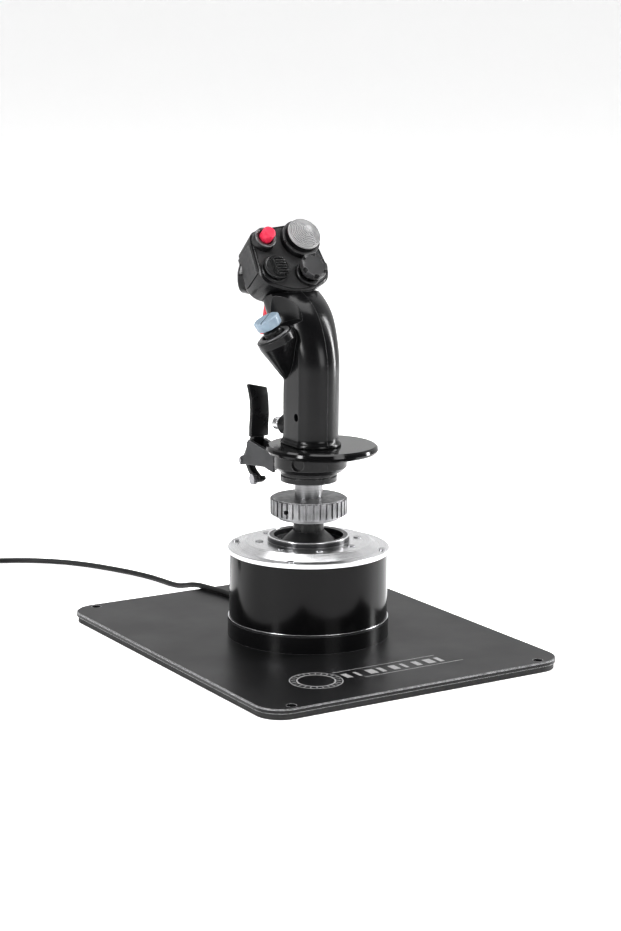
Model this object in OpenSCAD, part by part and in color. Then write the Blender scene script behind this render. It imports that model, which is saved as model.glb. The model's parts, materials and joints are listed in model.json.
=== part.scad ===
// Flight joystick: a hand grip with hats, buttons, trigger and paddle, carried by a
// ring nut and a gimbal in a round base that is screwed to a desk plate.
// +X is the pilot's right, +Y is forward, +Z is up. The origin is under the plate's centre.

/* [Desk plate] */
// Width of the plate, left to right
plate_w = 225; // [210:1:240]
// Depth of the plate, front to back
plate_d = 277; // [265:1:290]
// Radius of the plate's corners
plate_corner_r = 18; // [12:1:22]
// Thickness of the steel plate
plate_t = 3; // [2.5:0.5:4]
// Thickness of the rubber mat under the plate
mat_t = 4; // [3.5:0.5:5]
// Spacing of the corner holes, left to right
hole_dx = 187; // [180:1:190]
// Spacing of the corner holes, front to back
hole_dy = 264; // [240:1:260]
// Radius of the corner holes
hole_r = 3.25; // [2.5:0.25:4]

/* [Base] */
// Outer radius of the base flange
flange_r = 54.2; // [53.5:0.1:55]
// Outer radius of the painted housing
housing_r = 53.2; // [52:0.1:53.4]
// Height of the painted housing
housing_h = 45; // [44:0.5:46]
// Radius of the raised middle of the top cover
plateau_r = 41.7; // [40:0.1:43]
// Inner radius of the neck ring
neck_r = 23.4; // [23.2:0.1:24]

/* [Gimbal] */
// Height of the gimbal's centre above the desk
pivot_z = 50; // [49:0.5:51]
// Radius of the gimbal pins
pin_r = 3; // [2.5:0.5:3.5]
// Radial running clearance of pins and bores
fit = 0.05; // [0.03:0.01:0.08]

/* [Stick] */
// Radius of the stick shaft
shaft_r = 9.3; // [9:0.1:9.5]
// Radius over the teeth of the ring nut
nut_r = 25.8; // [24:0.1:27]
// Number of grip teeth on the ring nut
nut_teeth = 36; // [24:2:48]
// Radius of the adapter under the grip
adapter_r = 24.4; // [23:0.1:25]
// Radius of the hand rest
rest_r = 37.5; // [35:0.5:39]

/* [Grip] */
// Half of the handle's width
handle_w = 15.5; // [14.5:0.1:16.5]
// Wall thickness of the grip castings
grip_wall = 2.6; // [2:0.1:3]
// Depth of the head, from the face to its flat front
head_depth = 24; // [23:0.5:25]
// Tilt of the face of the head, from lying flat
face_tilt = 52; // [50:1:54]

/* [Cord] */
// Diameter of the cord
cord_d = 4; // [3.5:0.5:4.5]

/* [Hidden] */
$fn = 64;
eps = 0.02;
far = 200;

// Levels of the base
plate_top = mat_t + plate_t;
flange_top = plate_top + 12.5;
floor_top = plate_top + 4;
cover_z = flange_top + housing_h;
plateau_z = cover_z + 7;
neck_top = plateau_z + 3.5;
flange_wall = 3.6;
base_screw_r = 2.5;
base_screws_at = 38;
cover_screws_at = 50.5;
top_screws_at = 33.5;
foot_r = 6;
gland_z = 13;

// Pillars that carry the gimbal
pillar_in = 25.6;
pillar_out = 32;
pillar_foot = 44;
pillar_r = 7;

// Levels of the stick
collar_z = 77;
nut_z = 86.7;
nut_step_z = 89.2;
nut_top = 101;
ring_z = 112.3;
adapter_z = 119.5;
rest_z = 131.5;
rest_top = 137;
bell_r = 28.2;
bell_t = 1.6;

// Grip and hand rest places
grip_y = -2;
rest_at = [6, -7];
adapter_screw_at = [-18.8, -16.4, 127];
lip_z = 139.3;
face_at = [0, 23.8, 256.2];
thumb_at = [-28, -1.5, 211.5];
thumb_lean = [-6.5, -27, 0];
front_at = [-4, 19, 147];
front_lean = [-90, 0, 20];
master_at = [-15, 45.5, 245];
master_lean = [-84, 0, 38];
trigger_at = [0, 42.5, 234.5];
paddle_at = [-12, 58, 117.4];
paddle_pin_r = 1.6;
paddle_screw_at = [0, 45.5, 106.2];
trim_at = [11.2, 14.8];
castle_at = [8.2, -11.4];
ribbed_at = [-15.2, -6.2];
release_at = [-16.6, 15.8];

// Cups, rims and posts of the grip
hat_cup_r = 8;
hat_cup_low = -9.5;
release_cup_r = 6;
release_r = 4.8;
release_rim = 7.8;
trim_rim = 13.6;
castle_rim = 8.9;
ribbed_rim = 9.7;
thumb_cup_r = 9.5;
thumb_boss_r = 12.8;
thumb_h = -6.5;
master_cup_r = 10.5;
master_rim = 13.4;
front_cup_r = 5.5;
cup_gap = 0.3;
rim_gap = 0.5;
posts = [[-6.5, 157], [-4, 198], [12, 172]];
post_r = 4.2;
screw_r = 1.5;
trigger_half = 5;
slot_half = 5.6;
cheek_half = 9;
// Room for a thumb around its hat, scooped out of the handle's side
scoop_h = 14;
scoop_r = 25;
// Outline of the face's inset: share of the width, top, bottom
inset_face = [0.925, 26, -21.7];

// Crosses inside the hats
cross_r = 1.2;
cross_h = -3.5;
cross_u = 5.4;
cross_v = 3.4;

// Handle stations: back y, back z, front y, front z, half width
stations = [[-24.5, rest_top + 0.4, 22, rest_top + 0.4, handle_w + 1.6],
            [-24, lip_z, 21.5, lip_z, handle_w + 1.2],
            [-22.5, 142, 19.7, 142, handle_w],
            [-23, 182, 19.7, 180, handle_w],
            [-22.4, 195, 20.5, 190, handle_w + 0.2],
            [-18.5, 209, 24, 200, handle_w + 1],
            [-12, 221.5, 30, 211, handle_w + 2.2],
            [-4, 229.5, 34, 217, handle_w + 3],
            [4.5, 234.5, 37, 224, handle_w + 3.2],
            [12, 237.5, 39, 230, handle_w + 3]];
// Handle outline: share of the depth from the back, share of the half width.
// The back is an arc that ends at a ridge
ridge_at = 0.25;
ridge_arc = 66;
half_outline = concat(
    [for (a = [0:11:ridge_arc]) [ridge_at * (1 - cos(a)) / (1 - cos(ridge_arc)), sin(a) / sin(ridge_arc)]],
    [[0.72, 0.96], [0.84, 0.78], [0.93, 0.52], [1, 0]]);
// Head outline at full size, from the lower right corner round to the bottom, as half width and height
head_corners = [[23, -16.3], [26.9, -8], [24.9, 18.5], [23.6, 22.5], [18.5, 27.4], [10, 28]];
head_top = 28;
head_low = -23.7;
// Head stations: distance from the face, share of the width, top, bottom
head_stations = [[0, 0.965, 27.2, -22.7], [-1.5, 1, head_top, head_low], [-21, 0.95, 26.6, -20.2],
                 [-25, 0.88, 24, -17], [-29, 0.72, 20, -10], [-33, 0.5, 15, -7]];

// Cord on the plate and floor, from the gland to the coil, chosen by hand
coil_at = [-132, 299];
coil_r = 22;
coil_half = 6;
run_route = [[0, 66, 13], [0, 75, 12.6], [0, 84, 11.4], [0, 93, 10], [0, 102, 9.2], [-0.5, 112, 9.1],
             [-2, 122, 9.1], [-4.5, 132, 9.1], [-6, 140, 8.9], [-7.5, 149, 7.6], [-8.5, 158, 5.2],
             [-9, 167, 3.2], [-9.5, 177, 2.2], [-10.5, 188, 2.05], [-12.5, 200, 2.05],
             [-15.5, 212, 2.05], [-19.5, 224, 2.05], [-24, 235, 2.05], [-29, 246, 2.05],
             [-34.5, 257, 2.05], [-41, 267.5, 2.05], [-48.5, 277.5, 2.05], [-57, 286.5, 2.05],
             [-66.5, 294.5, 2.05], [-76.5, 301, 2.05], [-87, 306.5, 2.05], [-98, 312, 2.15],
             [-110, 317.5, 2.4], [-122, 323, 2.8]];
tail_route = [[-150, 300, 18.4], [-150.2, 291, 19.9], [-150.8, 282, 20.2], [-151.8, 273, 18.6],
              [-153.2, 264, 14.8], [-155, 255, 10], [-157, 246, 6.2], [-159.2, 237, 4.2],
              [-161.5, 228, 3.8]];
plug_at = [-161.5, 228, 0];
plug_turn = -14.5;

// ---------- shared shapes ----------

function unit(v) = v / norm(v);
function heading(p, i) = unit(p[min(i + 1, len(p) - 1)] - p[max(i - 1, 0)]);
function cord_ring(p, i, r) =
    let (t = heading(p, i), s = unit(cross(t, [0, 0, 1])), u = cross(s, t))
    [for (k = [0:7]) p[i] + r * (cos(45 * k + 22.5) * s + sin(45 * k + 22.5) * u)];

// Joins closed rings of equal count into one solid; the last ring is the far end
module skin(rings) {
    n = len(rings[0]);
    last = len(rings) - 1;
    polyhedron(
        points = [for (r = rings) each r],
        faces = concat([[for (k = [0:n - 1]) k]],
                       [for (j = [0:last - 1], k = [0:n - 1])
                           each let (a = j * n + k, b = j * n + (k + 1) % n)
                               [[a, a + n, b], [b, a + n, b + n]]],
                       [[for (k = [n - 1:-1:0]) last * n + k]]));
}
module tube(route, d) { skin([for (i = [0:len(route) - 1]) cord_ring(route, i, d / 2)]); }
module pipe(r_out, r_in, z0, z1) {
    translate([0, 0, z0]) difference() {
        cylinder(r = r_out, h = z1 - z0);
        translate([0, 0, -1]) cylinder(r = r_in, h = z1 - z0 + 2);
    }
}
module disc(r, z0, z1) { translate([0, 0, z0]) cylinder(r = r, h = z1 - z0); }
module along_x(x0, x1, r) { translate([x0, 0, 0]) rotate([0, 90, 0]) cylinder(r = r, h = x1 - x0); }
module along_y(y0, y1, r) { translate([0, y0, 0]) rotate([-90, 0, 0]) cylinder(r = r, h = y1 - y0); }
module block(lo, hi) { translate(lo) cube(hi - lo); }
// A block between two distances from the middle, on the side given by the sign
module side_block(side, xs, y, zs) {
    block([min(side * xs[0], side * xs[1]), -y, zs[0]], [max(side * xs[0], side * xs[1]), y, zs[1]]);
}
module round_rect(w, d, r) {
    square([w - 2 * r, d], center = true);
    square([w, d - 2 * r], center = true);
    for (sx = [-1, 1], sy = [-1, 1]) translate([sx * (w / 2 - r), sy * (d / 2 - r)]) circle(r);
}
// A flat outline in y and z, drawn across x
module side_sheet(points, x0, x1) {
    translate([x0, 0, 0]) rotate([90, 0, 90]) linear_extrude(x1 - x0) polygon(points);
}
module corner_holes() {
    for (sx = [-1, 1], sy = [-1, 1])
        translate([sx * hole_dx / 2, sy * hole_dy / 2, -1]) cylinder(r = hole_r, h = 20);
}
// Places around the axis: a count of them, at a distance, the first at a given turn
module around(count, distance, first) {
    for (k = [0:count - 1]) rotate(first + 360 / count * k) translate([distance, 0, 0]) children();
}
module base_screw_places() { around(4, base_screws_at, 45) children(); }
module cover_screw_places() { around(4, cover_screws_at, 45) children(); }
module top_screw_places() { around(8, top_screws_at, 25) children(); }

// ---------- plate ----------

module base_plate() color("dimgray") difference() {
    union() {
        translate([0, 0, mat_t]) linear_extrude(plate_t - 0.6) round_rect(plate_w, plate_d, plate_corner_r);
        translate([0, 0, plate_top - 0.6]) linear_extrude(0.6)
            round_rect(plate_w - 1.2, plate_d - 1.2, plate_corner_r - 0.6);
    }
    corner_holes();
    base_screw_places() disc(base_screw_r + fit, 0, 20);
}
module base_mat() color([0.1, 0.1, 0.1]) difference() {
    linear_extrude(mat_t) round_rect(plate_w - 2.4, plate_d - 2.4, plate_corner_r - 1.2);
    corner_holes();
    base_screw_places() disc(foot_r, -1, 20);
}
module plate_screws() color("silver") base_screw_places() {
    disc(base_screw_r, mat_t, floor_top + 6);
    difference() {
        disc(4.8, 1, mat_t);
        translate([0, 0, 0.5]) cylinder(r = 1.6, h = 2, $fn = 6);
    }
}

// ---------- base ----------

module base_flange() color([0.07, 0.07, 0.07]) difference() {
    union() {
        disc(flange_r, plate_top, floor_top);
        pipe(flange_r, flange_r - flange_wall, floor_top - 1, flange_top - 1);
        pipe(flange_r - 0.9, flange_r - flange_wall, flange_top - 2, flange_top);
        base_screw_places() disc(foot_r, floor_top - 1, floor_top + 6);
    }
    base_screw_places() disc(base_screw_r + fit, 0, floor_top + 7);
    translate([0, 0, gland_z]) along_y(45, 60, 4);
}
module base_housing() color([0.03, 0.03, 0.03]) pipe(housing_r, housing_r - 2.6, flange_top, cover_z);
module top_cover() color("silver") difference() {
    rotate_extrude($fn = 128) polygon([
        [neck_r, plateau_z - 4], [plateau_r - 1, plateau_z - 4], [plateau_r + 4, cover_z],
        [flange_r, cover_z], [flange_r, cover_z + 2.6], [flange_r - 0.4, cover_z + 3],
        [47.5, cover_z + 3], [plateau_r, plateau_z], [neck_r, plateau_z]]);
    cover_screw_places() disc(1.3, cover_z - 1, far);
    top_screw_places() disc(1.5, plateau_z - 3, far);
}
module cover_screws() color("gray") {
    cover_screw_places() {
        disc(1.25, cover_z + 0.3, cover_z + 3);
        disc(2.2, cover_z + 3, cover_z + 4);
    }
    top_screw_places() {
        disc(1.45, plateau_z - 2.8, plateau_z);
        disc(2.6, plateau_z, plateau_z + 0.5);
    }
}
module neck_ring() color([0.25, 0.25, 0.27]) rotate_extrude($fn = 96)
    polygon([[neck_r, plateau_z], [27.4, plateau_z], [27.4, neck_top - 0.6], [26.8, neck_top],
             [neck_r, neck_top]]);
module gimbal_pillars() color("gray") translate([0, 0, pivot_z]) for (side = [-1, 1]) difference() {
    floor_z = floor_top - pivot_z;
    union() {
        side_block(side, [pillar_in, pillar_out], pillar_r, [floor_z, 0]);
        rotate(90 - 90 * side) along_x(pillar_in, pillar_out, pillar_r);
        side_block(side, [pillar_in, pillar_foot], pillar_r, [floor_z, floor_z + 4]);
    }
    along_x(-40, 40, pin_r + fit);
}
module centering_plate() color("darkgray") pipe(22, 13, 25, 27.4);
module centering_springs() color("silver") around(4, 17.5, 0)
    for (z = [floor_top + 1.5:3.2:24]) translate([0, 0, z])
        rotate_extrude($fn = 24) translate([3, 0]) circle(1.45, $fn = 16);
module sensor_board() color("darkgreen") {
    disc(11, floor_top + 1, floor_top + 2.6);
    block([-3, -3, floor_top + 2.6], [3, 3, floor_top + 4.2]);
}

// ---------- cord ----------

module cable_gland() color([0.06, 0.06, 0.06]) translate([0, 0, gland_z]) {
    along_y(50, 54.3, 3.9);
    translate([0, 54.3, 0]) rotate([-90, 0, 0]) cylinder(r1 = 4.4, r2 = 2.9, h = 11.7);
}
module cord_run() color([0.05, 0.05, 0.05]) tube(run_route, cord_d);
module coil_ring() { pipe(coil_r + coil_half, coil_r - coil_half, 0.8, 18.2); }
module cord_coil() color([0.05, 0.05, 0.05]) translate([coil_at[0], coil_at[1], 0]) coil_ring();
module cord_tail() color([0.05, 0.05, 0.05]) tube(tail_route, cord_d);
module cord_tie() color([0.15, 0.15, 0.15]) translate([coil_at[0], coil_at[1], 0]) rotate(70) difference() {
    block([coil_r - coil_half - 0.8, -4, 0], [coil_r + coil_half + 0.8, 4, 19]);
    coil_ring();
}
module usb_plug() color([0.1, 0.1, 0.1]) translate(plug_at) rotate(plug_turn) {
    block([-6, -31, 0.2], [6, 0, 7.6]);
    color("silver") block([-6, -43, 1.6], [6, -31, 6.1]);
}

// ---------- gimbal ----------

module gimbal_ring() color("slategray") translate([0, 0, pivot_z]) difference() {
    pipe(24, 19, -6, 6);
    along_x(-40, 40, pin_r);
    along_y(-40, 40, pin_r + fit);
}
module pitch_pins() color("silver") translate([0, 0, pivot_z]) {
    along_x(-32.5, -19, pin_r);
    along_x(19, 32.5, pin_r);
}

// ---------- stick ----------

module stick_shaft() color("gray") difference() {
    union() {
        disc(shaft_r, 30, ring_z);
        disc(13, pivot_z - 6, pivot_z + 6);
    }
    disc(4, 36, far);
    translate([0, 0, pivot_z]) along_y(-20, 20, pin_r);
}
module roll_pins() color("silver") translate([0, 0, pivot_z]) {
    along_y(-23.6, -4.5, pin_r);
    along_y(4.5, 23.6, pin_r);
}
module gimbal_bell() color([0.12, 0.12, 0.13]) translate([0, 0, pivot_z]) difference() {
    rotate_extrude($fn = 96) polygon(concat(
        [[shaft_r, 28.2], [10.4, 28.2]],
        [for (a = [36:2:50]) bell_r * [sin(a), cos(a)]],
        [for (a = [50:-2:40]) (bell_r - bell_t) * [sin(a), cos(a)]],
        [[shaft_r, 25]]));
    for (k = [0:5]) rotate(60 * k + 20) rotate([0, 43, 0]) disc(2.8, 20, 32);
}
module sensor_magnet() color("silver") disc(4, 28.6, 30);
module shaft_collar() color([0.1, 0.1, 0.1]) pipe(10.4, shaft_r, 78.2, nut_z - 0.3);
module ring_nut() color("gray") difference() {
    union() {
        disc(20.6, nut_z, nut_step_z);
        disc(nut_r - 1.3, nut_step_z, nut_top);
        for (k = [0:nut_teeth - 1]) rotate(360 / nut_teeth * k)
            block([nut_r - 3, -1.4, nut_step_z + 0.8], [nut_r, 1.4, nut_top - 0.8]);
    }
    disc(shaft_r + fit + 0.02, 0, far);
    rotate(-68) translate([0, 0, nut_step_z + 5]) along_y(-30, -20, 1.5);
}
module grip_ring() color([0.15, 0.15, 0.16]) difference() {
    union() {
        disc(19, ring_z, ring_z + 3.4);
        disc(17.6, ring_z + 3.4, ring_z + 4.6);
        disc(19, ring_z + 4.6, adapter_z);
    }
    disc(4, 0, far);
}
module grip_adapter() color([0.2, 0.2, 0.22]) difference() {
    translate([0, grip_y, 0]) rotate_extrude($fn = 96) polygon([
        [0, adapter_z], [adapter_r - 3, adapter_z], [adapter_r, adapter_z + 3], [adapter_r, rest_z],
        [0, rest_z]]);
    disc(4, 0, far);
    translate(adapter_screw_at) rotate([0, -90, 39]) disc(4.4, -2, 10);
}
module hand_rest() color([0.04, 0.04, 0.04]) difference() {
    translate([rest_at[0], rest_at[1], 0]) rotate_extrude($fn = 96) polygon([
        [0, rest_z], [rest_r - 2.5, rest_z], [rest_r - 0.8, rest_z + 1], [rest_r, rest_z + 2.6],
        [rest_r - 0.6, rest_top - 1], [rest_r - 2, rest_top], [0, rest_top]]);
    disc(4, 0, far);
}

// ---------- grip ----------

function station_ring(s, inset) = let (
        back = [s[0] + inset, s[1]], front = [s[2] - inset, s[3]], w = s[4] - inset,
        n = len(half_outline),
        right = [for (p = half_outline)
            [p[1] * w, back[0] + p[0] * (front[0] - back[0]), back[1] + p[0] * (front[1] - back[1])]],
        left = [for (k = [n - 2:-1:1]) [-right[k][0], right[k][1], right[k][2]]])
    concat(right, left);
function head_ring(s, inset) = let (
        right = concat([[0, head_low], [11, -21.6]], head_corners),
        left = [for (k = [len(right) - 1:-1:1]) [-right[k][0], right[k][1]]],
        low = s[3] + inset, rise = (s[2] - s[3] - 2 * inset) / (head_top - head_low))
    [for (c = concat(right, left))
        [c[0] * s[1] - sign(c[0]) * inset, low + (c[1] - head_low) * rise, s[0]]];
module in_face() { translate(face_at) rotate([face_tilt, 0, 0]) children(); }
module in_thumb() { translate(thumb_at) rotate(thumb_lean) children(); }
module in_front() { translate(front_at) rotate(front_lean) children(); }
module in_master() { translate(master_at) rotate(master_lean) children(); }

module head_body() { skin([for (k = [len(head_stations) - 1:-1:0]) head_ring(head_stations[k], 0)]); }
module head_hollow() {
    skin([for (k = [3:-1:1]) let (s = head_stations[k])
        head_ring([min(s[0] + 1.5, -2.2), s[1], s[2], s[3]], grip_wall)]);
}
module handle_body(inset) { skin([for (s = stations) station_ring(s, inset)]); }
module thumb_boss() hull() {
    in_thumb() disc(thumb_boss_r, -5, 0, $fn = 32);
    translate([-12, 5, 205]) sphere(9, $fn = 24);
    translate([-11, 7, 184]) sphere(5.5, $fn = 24);
}
module at_posts() for (p = posts) translate([0, p[0] + grip_y, p[1]]) children();
module trigger_slot() {
    block([-slot_half, 37, 196], [slot_half, 60, 236.5]);
    translate(trigger_at) along_x(-slot_half, slot_half, 5.2);
    translate(trigger_at) along_x(-8.5, 8.5, screw_r);
}
module trigger_cheeks() intersection() {
    translate(trigger_at) union() {
        along_x(-cheek_half, -slot_half, 6);
        along_x(slot_half, cheek_half, 6);
        block([-cheek_half, -10, 0], [-slot_half, 6, 14]);
        block([slot_half, -10, 0], [cheek_half, 6, 14]);
    }
    in_face() head_body();
}
module thumb_room(extra) in_thumb() intersection() {
    translate([0, 0, scoop_h]) sphere(scoop_r + extra);
    disc(scoop_r + extra + 1, -extra, scoop_h + scoop_r + extra);
}
module front_pad() { in_front() disc(7.4, -6, 0); }
module face_slab(z0, z1, grow) {
    skin([for (z = [z0, z1]) head_ring([z, inset_face[0], inset_face[1], inset_face[2]], -grow)]);
}
module hollow() difference() {
    union() { handle_body(grip_wall); in_face() head_hollow(); }
    thumb_room(2);
    in_front() disc(9, -8, 1);
}
module solid_grip() {
    handle_body(0);
    in_face() head_body();
    front_pad();
}
module pockets() {
    in_face() {
        face_slab(-2.2, 1, 0.1);
        for (p = [trim_at, castle_at, ribbed_at])
            translate([p[0], p[1], 0]) disc(hat_cup_r + cup_gap, hat_cup_low - 1, 1);
        translate([release_at[0], release_at[1], 0]) disc(release_cup_r + cup_gap, hat_cup_low - 1, 1);
        for (rim = [[trim_at, trim_rim + 0.6], [castle_at, 11], [ribbed_at, ribbed_rim + rim_gap],
                    [release_at, release_rim + cup_gap]])
            translate([rim[0][0], rim[0][1], 0]) disc(rim[1], -0.2, 30);
    }
    trigger_slot();
    thumb_room(0);
    in_thumb() disc(thumb_cup_r + cup_gap, -14, 1);
    in_front() { disc(front_cup_r + 0.1, -4.1, 1); disc(9, 0, 20); }
    in_master() { disc(master_cup_r + 0.1, -4.1, 2); disc(master_rim + 0.4, 1, 30); }
}
module grip_left() color([0.08, 0.08, 0.08]) difference() {
    union() {
        difference() { solid_grip(); hollow(); }
        difference() { thumb_boss(); hollow(); }
        trigger_cheeks();
        at_posts() along_x(-14, 0, post_r);
    }
    pockets();
    block([0, -60, 100], [60, 90, 320]);
    at_posts() along_x(-9, 1, screw_r);
    translate([0, posts[0][0] + grip_y, posts[0][1]]) along_x(-30, -12.5, 2.6);
}
module grip_right() color([0.08, 0.08, 0.08]) difference() {
    union() {
        difference() { solid_grip(); hollow(); }
        trigger_cheeks();
        at_posts() along_x(0, 14, post_r);
    }
    pockets();
    block([-60, -60, 100], [0, 90, 320]);
    at_posts() { along_x(-1, 13, screw_r); along_x(11, 30, 3.2); }
}
module grip_screws() color("gray") at_posts() {
    along_x(-8, 11, screw_r);
    along_x(11, 12.8, 2.9);
}
module face_plate() color([0.12, 0.12, 0.12]) in_face() difference() {
    face_slab(-2.1, -0.1, 0);
    for (p = [trim_at, castle_at, ribbed_at]) translate([p[0], p[1], 0]) disc(hat_cup_r, -9, 9);
    translate([release_at[0], release_at[1], 0]) disc(release_cup_r, -9, 9);
}
module grip_board() color("darkgreen") block([4, -4, 160], [5.6, 4, 190]);

// ---------- hats ----------

module at_hat(p) { in_face() translate([p[0], p[1], 0]) children(); }
// Fixed cup with two lugs that hold the cross, standing up to rim_h above the face
module hat_housing(rim_r, rim_h, mouth_r) difference() {
    union() {
        disc(hat_cup_r, hat_cup_low, -0.1);
        disc(rim_r, -0.1, rim_h);
    }
    difference() {
        disc(6.9, -7.5, 0.5);
        for (side = [-1, 1]) side_block(side, [4.2, 8], 2, [-8, -1.2]);
    }
    disc(mouth_r, -1, far);
    translate([0, 0, cross_h]) along_x(-cross_u - 0.1, cross_u + 0.1, cross_r + fit);
}
module hat_cross() translate([0, 0, cross_h]) {
    along_x(-cross_u, cross_u, cross_r);
    along_y(-cross_v, cross_v, cross_r);
}
// Two ears around the cross, joined to a stem that ends at top_h
module hat_yoke(top_h, stem_r) difference() {
    union() {
        for (turn = [-90, 90]) rotate(turn) side_block(1, [1.8, 3.4], 1.9, [cross_h - 1.9, 0.1]);
        disc(3.4, -0.6, 1.4);
        disc(stem_r, 1.4, top_h);
    }
    translate([0, 0, cross_h]) along_y(-5, 5, cross_r + fit);
}

module trim_housing() color([0.3, 0.3, 0.32]) at_hat(trim_at) hat_housing(trim_rim, 4.6, 6);
module trim_cross() color("silver") at_hat(trim_at) hat_cross();
module trim_hat() color([0.55, 0.56, 0.57]) at_hat(trim_at) union() {
    hat_yoke(8, 3.4);
    rotate_extrude($fn = 96) polygon([[0, 7.8], [13, 7.8], [13, 10.2], [11, 11.2], [11, 12], [8, 13.4],
                                     [8, 14.2], [5, 15.4], [5, 16], [0, 17]]);
}
module castle_housing() color([0.1, 0.1, 0.1]) at_hat(castle_at) hat_housing(castle_rim, 3, 6);
module castle_cross() color("silver") at_hat(castle_at) hat_cross();
module castle_hat() color([0.09, 0.09, 0.09]) at_hat(castle_at) union() {
    hat_yoke(6, 3.6);
    rotate_extrude() polygon([[0, 5.5], [7.4, 5.5], [9.3, 8.5], [9.3, 10.4], [5.5, 10.4], [5.5, 9.2],
                              [0, 9.2]]);
    for (k = [0:3]) rotate(90 * k) block([5.5, -2.6, 10.4], [8.9, 2.6, 12.4]);
}
module ribbed_housing() color([0.1, 0.1, 0.1]) at_hat(ribbed_at) hat_housing(ribbed_rim, 1.2, 6);
module ribbed_cross() color("silver") at_hat(ribbed_at) hat_cross();
module ribbed_hat() color([0.06, 0.06, 0.06]) at_hat(ribbed_at) union() {
    hat_yoke(3, 3.6);
    disc(8.9, 2.9, 5);
    for (y = [-6:2:6]) let (half = sqrt(64 - y * y)) block([-half, y - 0.5, 5], [half, y + 0.5, 6.2]);
}
module release_bezel() color([0.16, 0.16, 0.17]) at_hat(release_at) difference() {
    union() { disc(release_cup_r, hat_cup_low, -0.1); disc(release_rim, -0.1, 6.4); }
    disc(release_r + fit, -3.2, far);
    disc(5.6, -8, -3.1);
}
module release_button() color("red") at_hat(release_at) union() {
    disc(release_r, -3.8, 12);
    disc(4.2, 12, 12.8);
    disc(5.3, -5, -3.4);
}
module thumb_housing() color("silver") in_thumb() difference() {
    union() { disc(thumb_cup_r, -13.3, 0); disc(10.8, 0, 1.2); }
    difference() {
        disc(7.4, -11.5, 0.5);
        for (side = [-1, 1]) side_block(side, [4.2, 8.5], 2, [-12, -4.2]);
    }
    disc(7.8, -3, far);
    translate([0, 0, thumb_h]) along_x(-cross_u - 0.1, cross_u + 0.1, cross_r + fit);
}
module thumb_cross() color("silver") in_thumb() translate([0, 0, thumb_h - cross_h]) hat_cross();
module thumb_stem() color([0.12, 0.12, 0.12]) in_thumb() union() {
    translate([0, 0, thumb_h - cross_h]) hat_yoke(2.4, 2.4);
    disc(6.2, -2.2, 4.4);
    disc(2.5, 4.3, 9);
}
module thumb_hat() color([0.55, 0.63, 0.7]) in_thumb() difference() {
    rotate(22.5) disc(9.2, 6, 13, $fn = 8);
    disc(2.5 + fit, 0, 10.8);
}
module master_bezel() color([0.1, 0.1, 0.1]) in_master() difference() {
    union() { disc(master_cup_r, -4, 1); disc(master_rim, 1, 6.6); }
    disc(8.6 + fit, -2.4, 3);
    disc(11.6, 3, far);
}
module master_button() color([0.6, 0.6, 0.6]) in_master() difference() {
    union() { disc(8.6, -0.9, 4.8); disc(11.2, 4.7, 7.6); disc(9.6, 7.6, 9); disc(6.4, 9, 9.8); }
    block([-12, -1, 8.6], [12, 1, 12]);
}
module front_collar() color([0.12, 0.12, 0.12]) in_front() difference() {
    union() { disc(front_cup_r, -4, 0.6); disc(6.6, 0.6, 5); }
    disc(3.2 + fit, -1.6, far);
    disc(4.6, -3.6, -1.5);
}
module front_button() color("silver") in_front() union() {
    disc(3.2, -2, 7);
    disc(4.25, 7, 11);
    disc(3.6, 11, 11.8);
}

// ---------- trigger and paddle ----------

module trigger_pin() color("silver") translate(trigger_at) along_x(-7.5, 7.5, screw_r);
module trigger() color("red") translate(trigger_at) difference() {
    union() {
        along_x(-trigger_half, trigger_half, 4.4);
        side_sheet([[-3.4, -2.6], [3.8, -2], [6.4, -8], [5.6, -15], [6.4, -22], [9.2, -29.5], [8, -31.5],
                    [4.4, -30.5], [1.4, -24], [-0.4, -16], [-1.4, -8]], -trigger_half, trigger_half);
    }
    along_x(-7, 7, screw_r + fit);
}
// Outline of the bracket's two cheeks, in y and z
cheek = [[14.6, 128.8], [31.7, 131], [47.5, 133.4], [49.4, 131.5], [51.5, 122.8], [58, 120.4], [61, 117.4],
         [58, 114.4], [50.2, 115.9], [26.5, 118.2], [20.5, 117.2], [14.6, 116.5]];
module paddle_bracket() color([0.35, 0.36, 0.38]) difference() {
    union() {
        side_sheet(cheek, -19, -16.6);
        side_sheet(cheek, -7.4, -5);
        side_sheet([[10, 117.4], [34, 117.4], [34, 127], [10, 127]], -16.6, -7.4);
    }
    translate([0, grip_y, 0]) disc(adapter_r + 0.02, 100, 140);
    translate([0, paddle_at[1], paddle_at[2]]) along_x(-20, 0, paddle_pin_r);
}
module paddle_pin() color("silver")
    translate([0, paddle_at[1], paddle_at[2]]) along_x(-19.8, -4.2, paddle_pin_r);
module paddle_lever() color([0.07, 0.07, 0.07]) difference() {
    union() {
        translate([0, paddle_at[1], paddle_at[2]]) along_x(-16.2, -7.8, 3.2);
        side_sheet([[59.6, 120.2], [51, 133.5], [47.6, 137.4], [44.4, 136], [46, 131], [54.8, 117]],
                   -16.2, -7.8);
        difference() {
            side_sheet([[44.2, 135.5], [47.8, 135.5], [47.4, 143], [46.2, 152], [46.8, 161], [49.6, 168.5],
                        [51, 171], [47.6, 171.6], [44.2, 163.6], [43, 152], [43.8, 143]], -18.8, -5);
            translate([-19, 30, 171.8]) rotate([0, 13, 0]) block([-1, 0, 0], [20, 40, 10]);
        }
        side_sheet([[60.6, 115.6], [55, 108.8], [44, 103.5], [39, 107], [41, 109.4], [44.4, 107.4],
                    [52.6, 111.4], [56.6, 118.4]], -14.5, -9.5);
    }
    translate([0, paddle_at[1], paddle_at[2]]) along_x(-20, 0, paddle_pin_r + fit);
    translate(paddle_screw_at) along_x(-20, 0, screw_r);
}
module paddle_screw() color("silver") translate(paddle_screw_at) {
    along_x(-16, -8, screw_r);
    along_x(-17.6, -14.5, 3.6);
}

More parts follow.
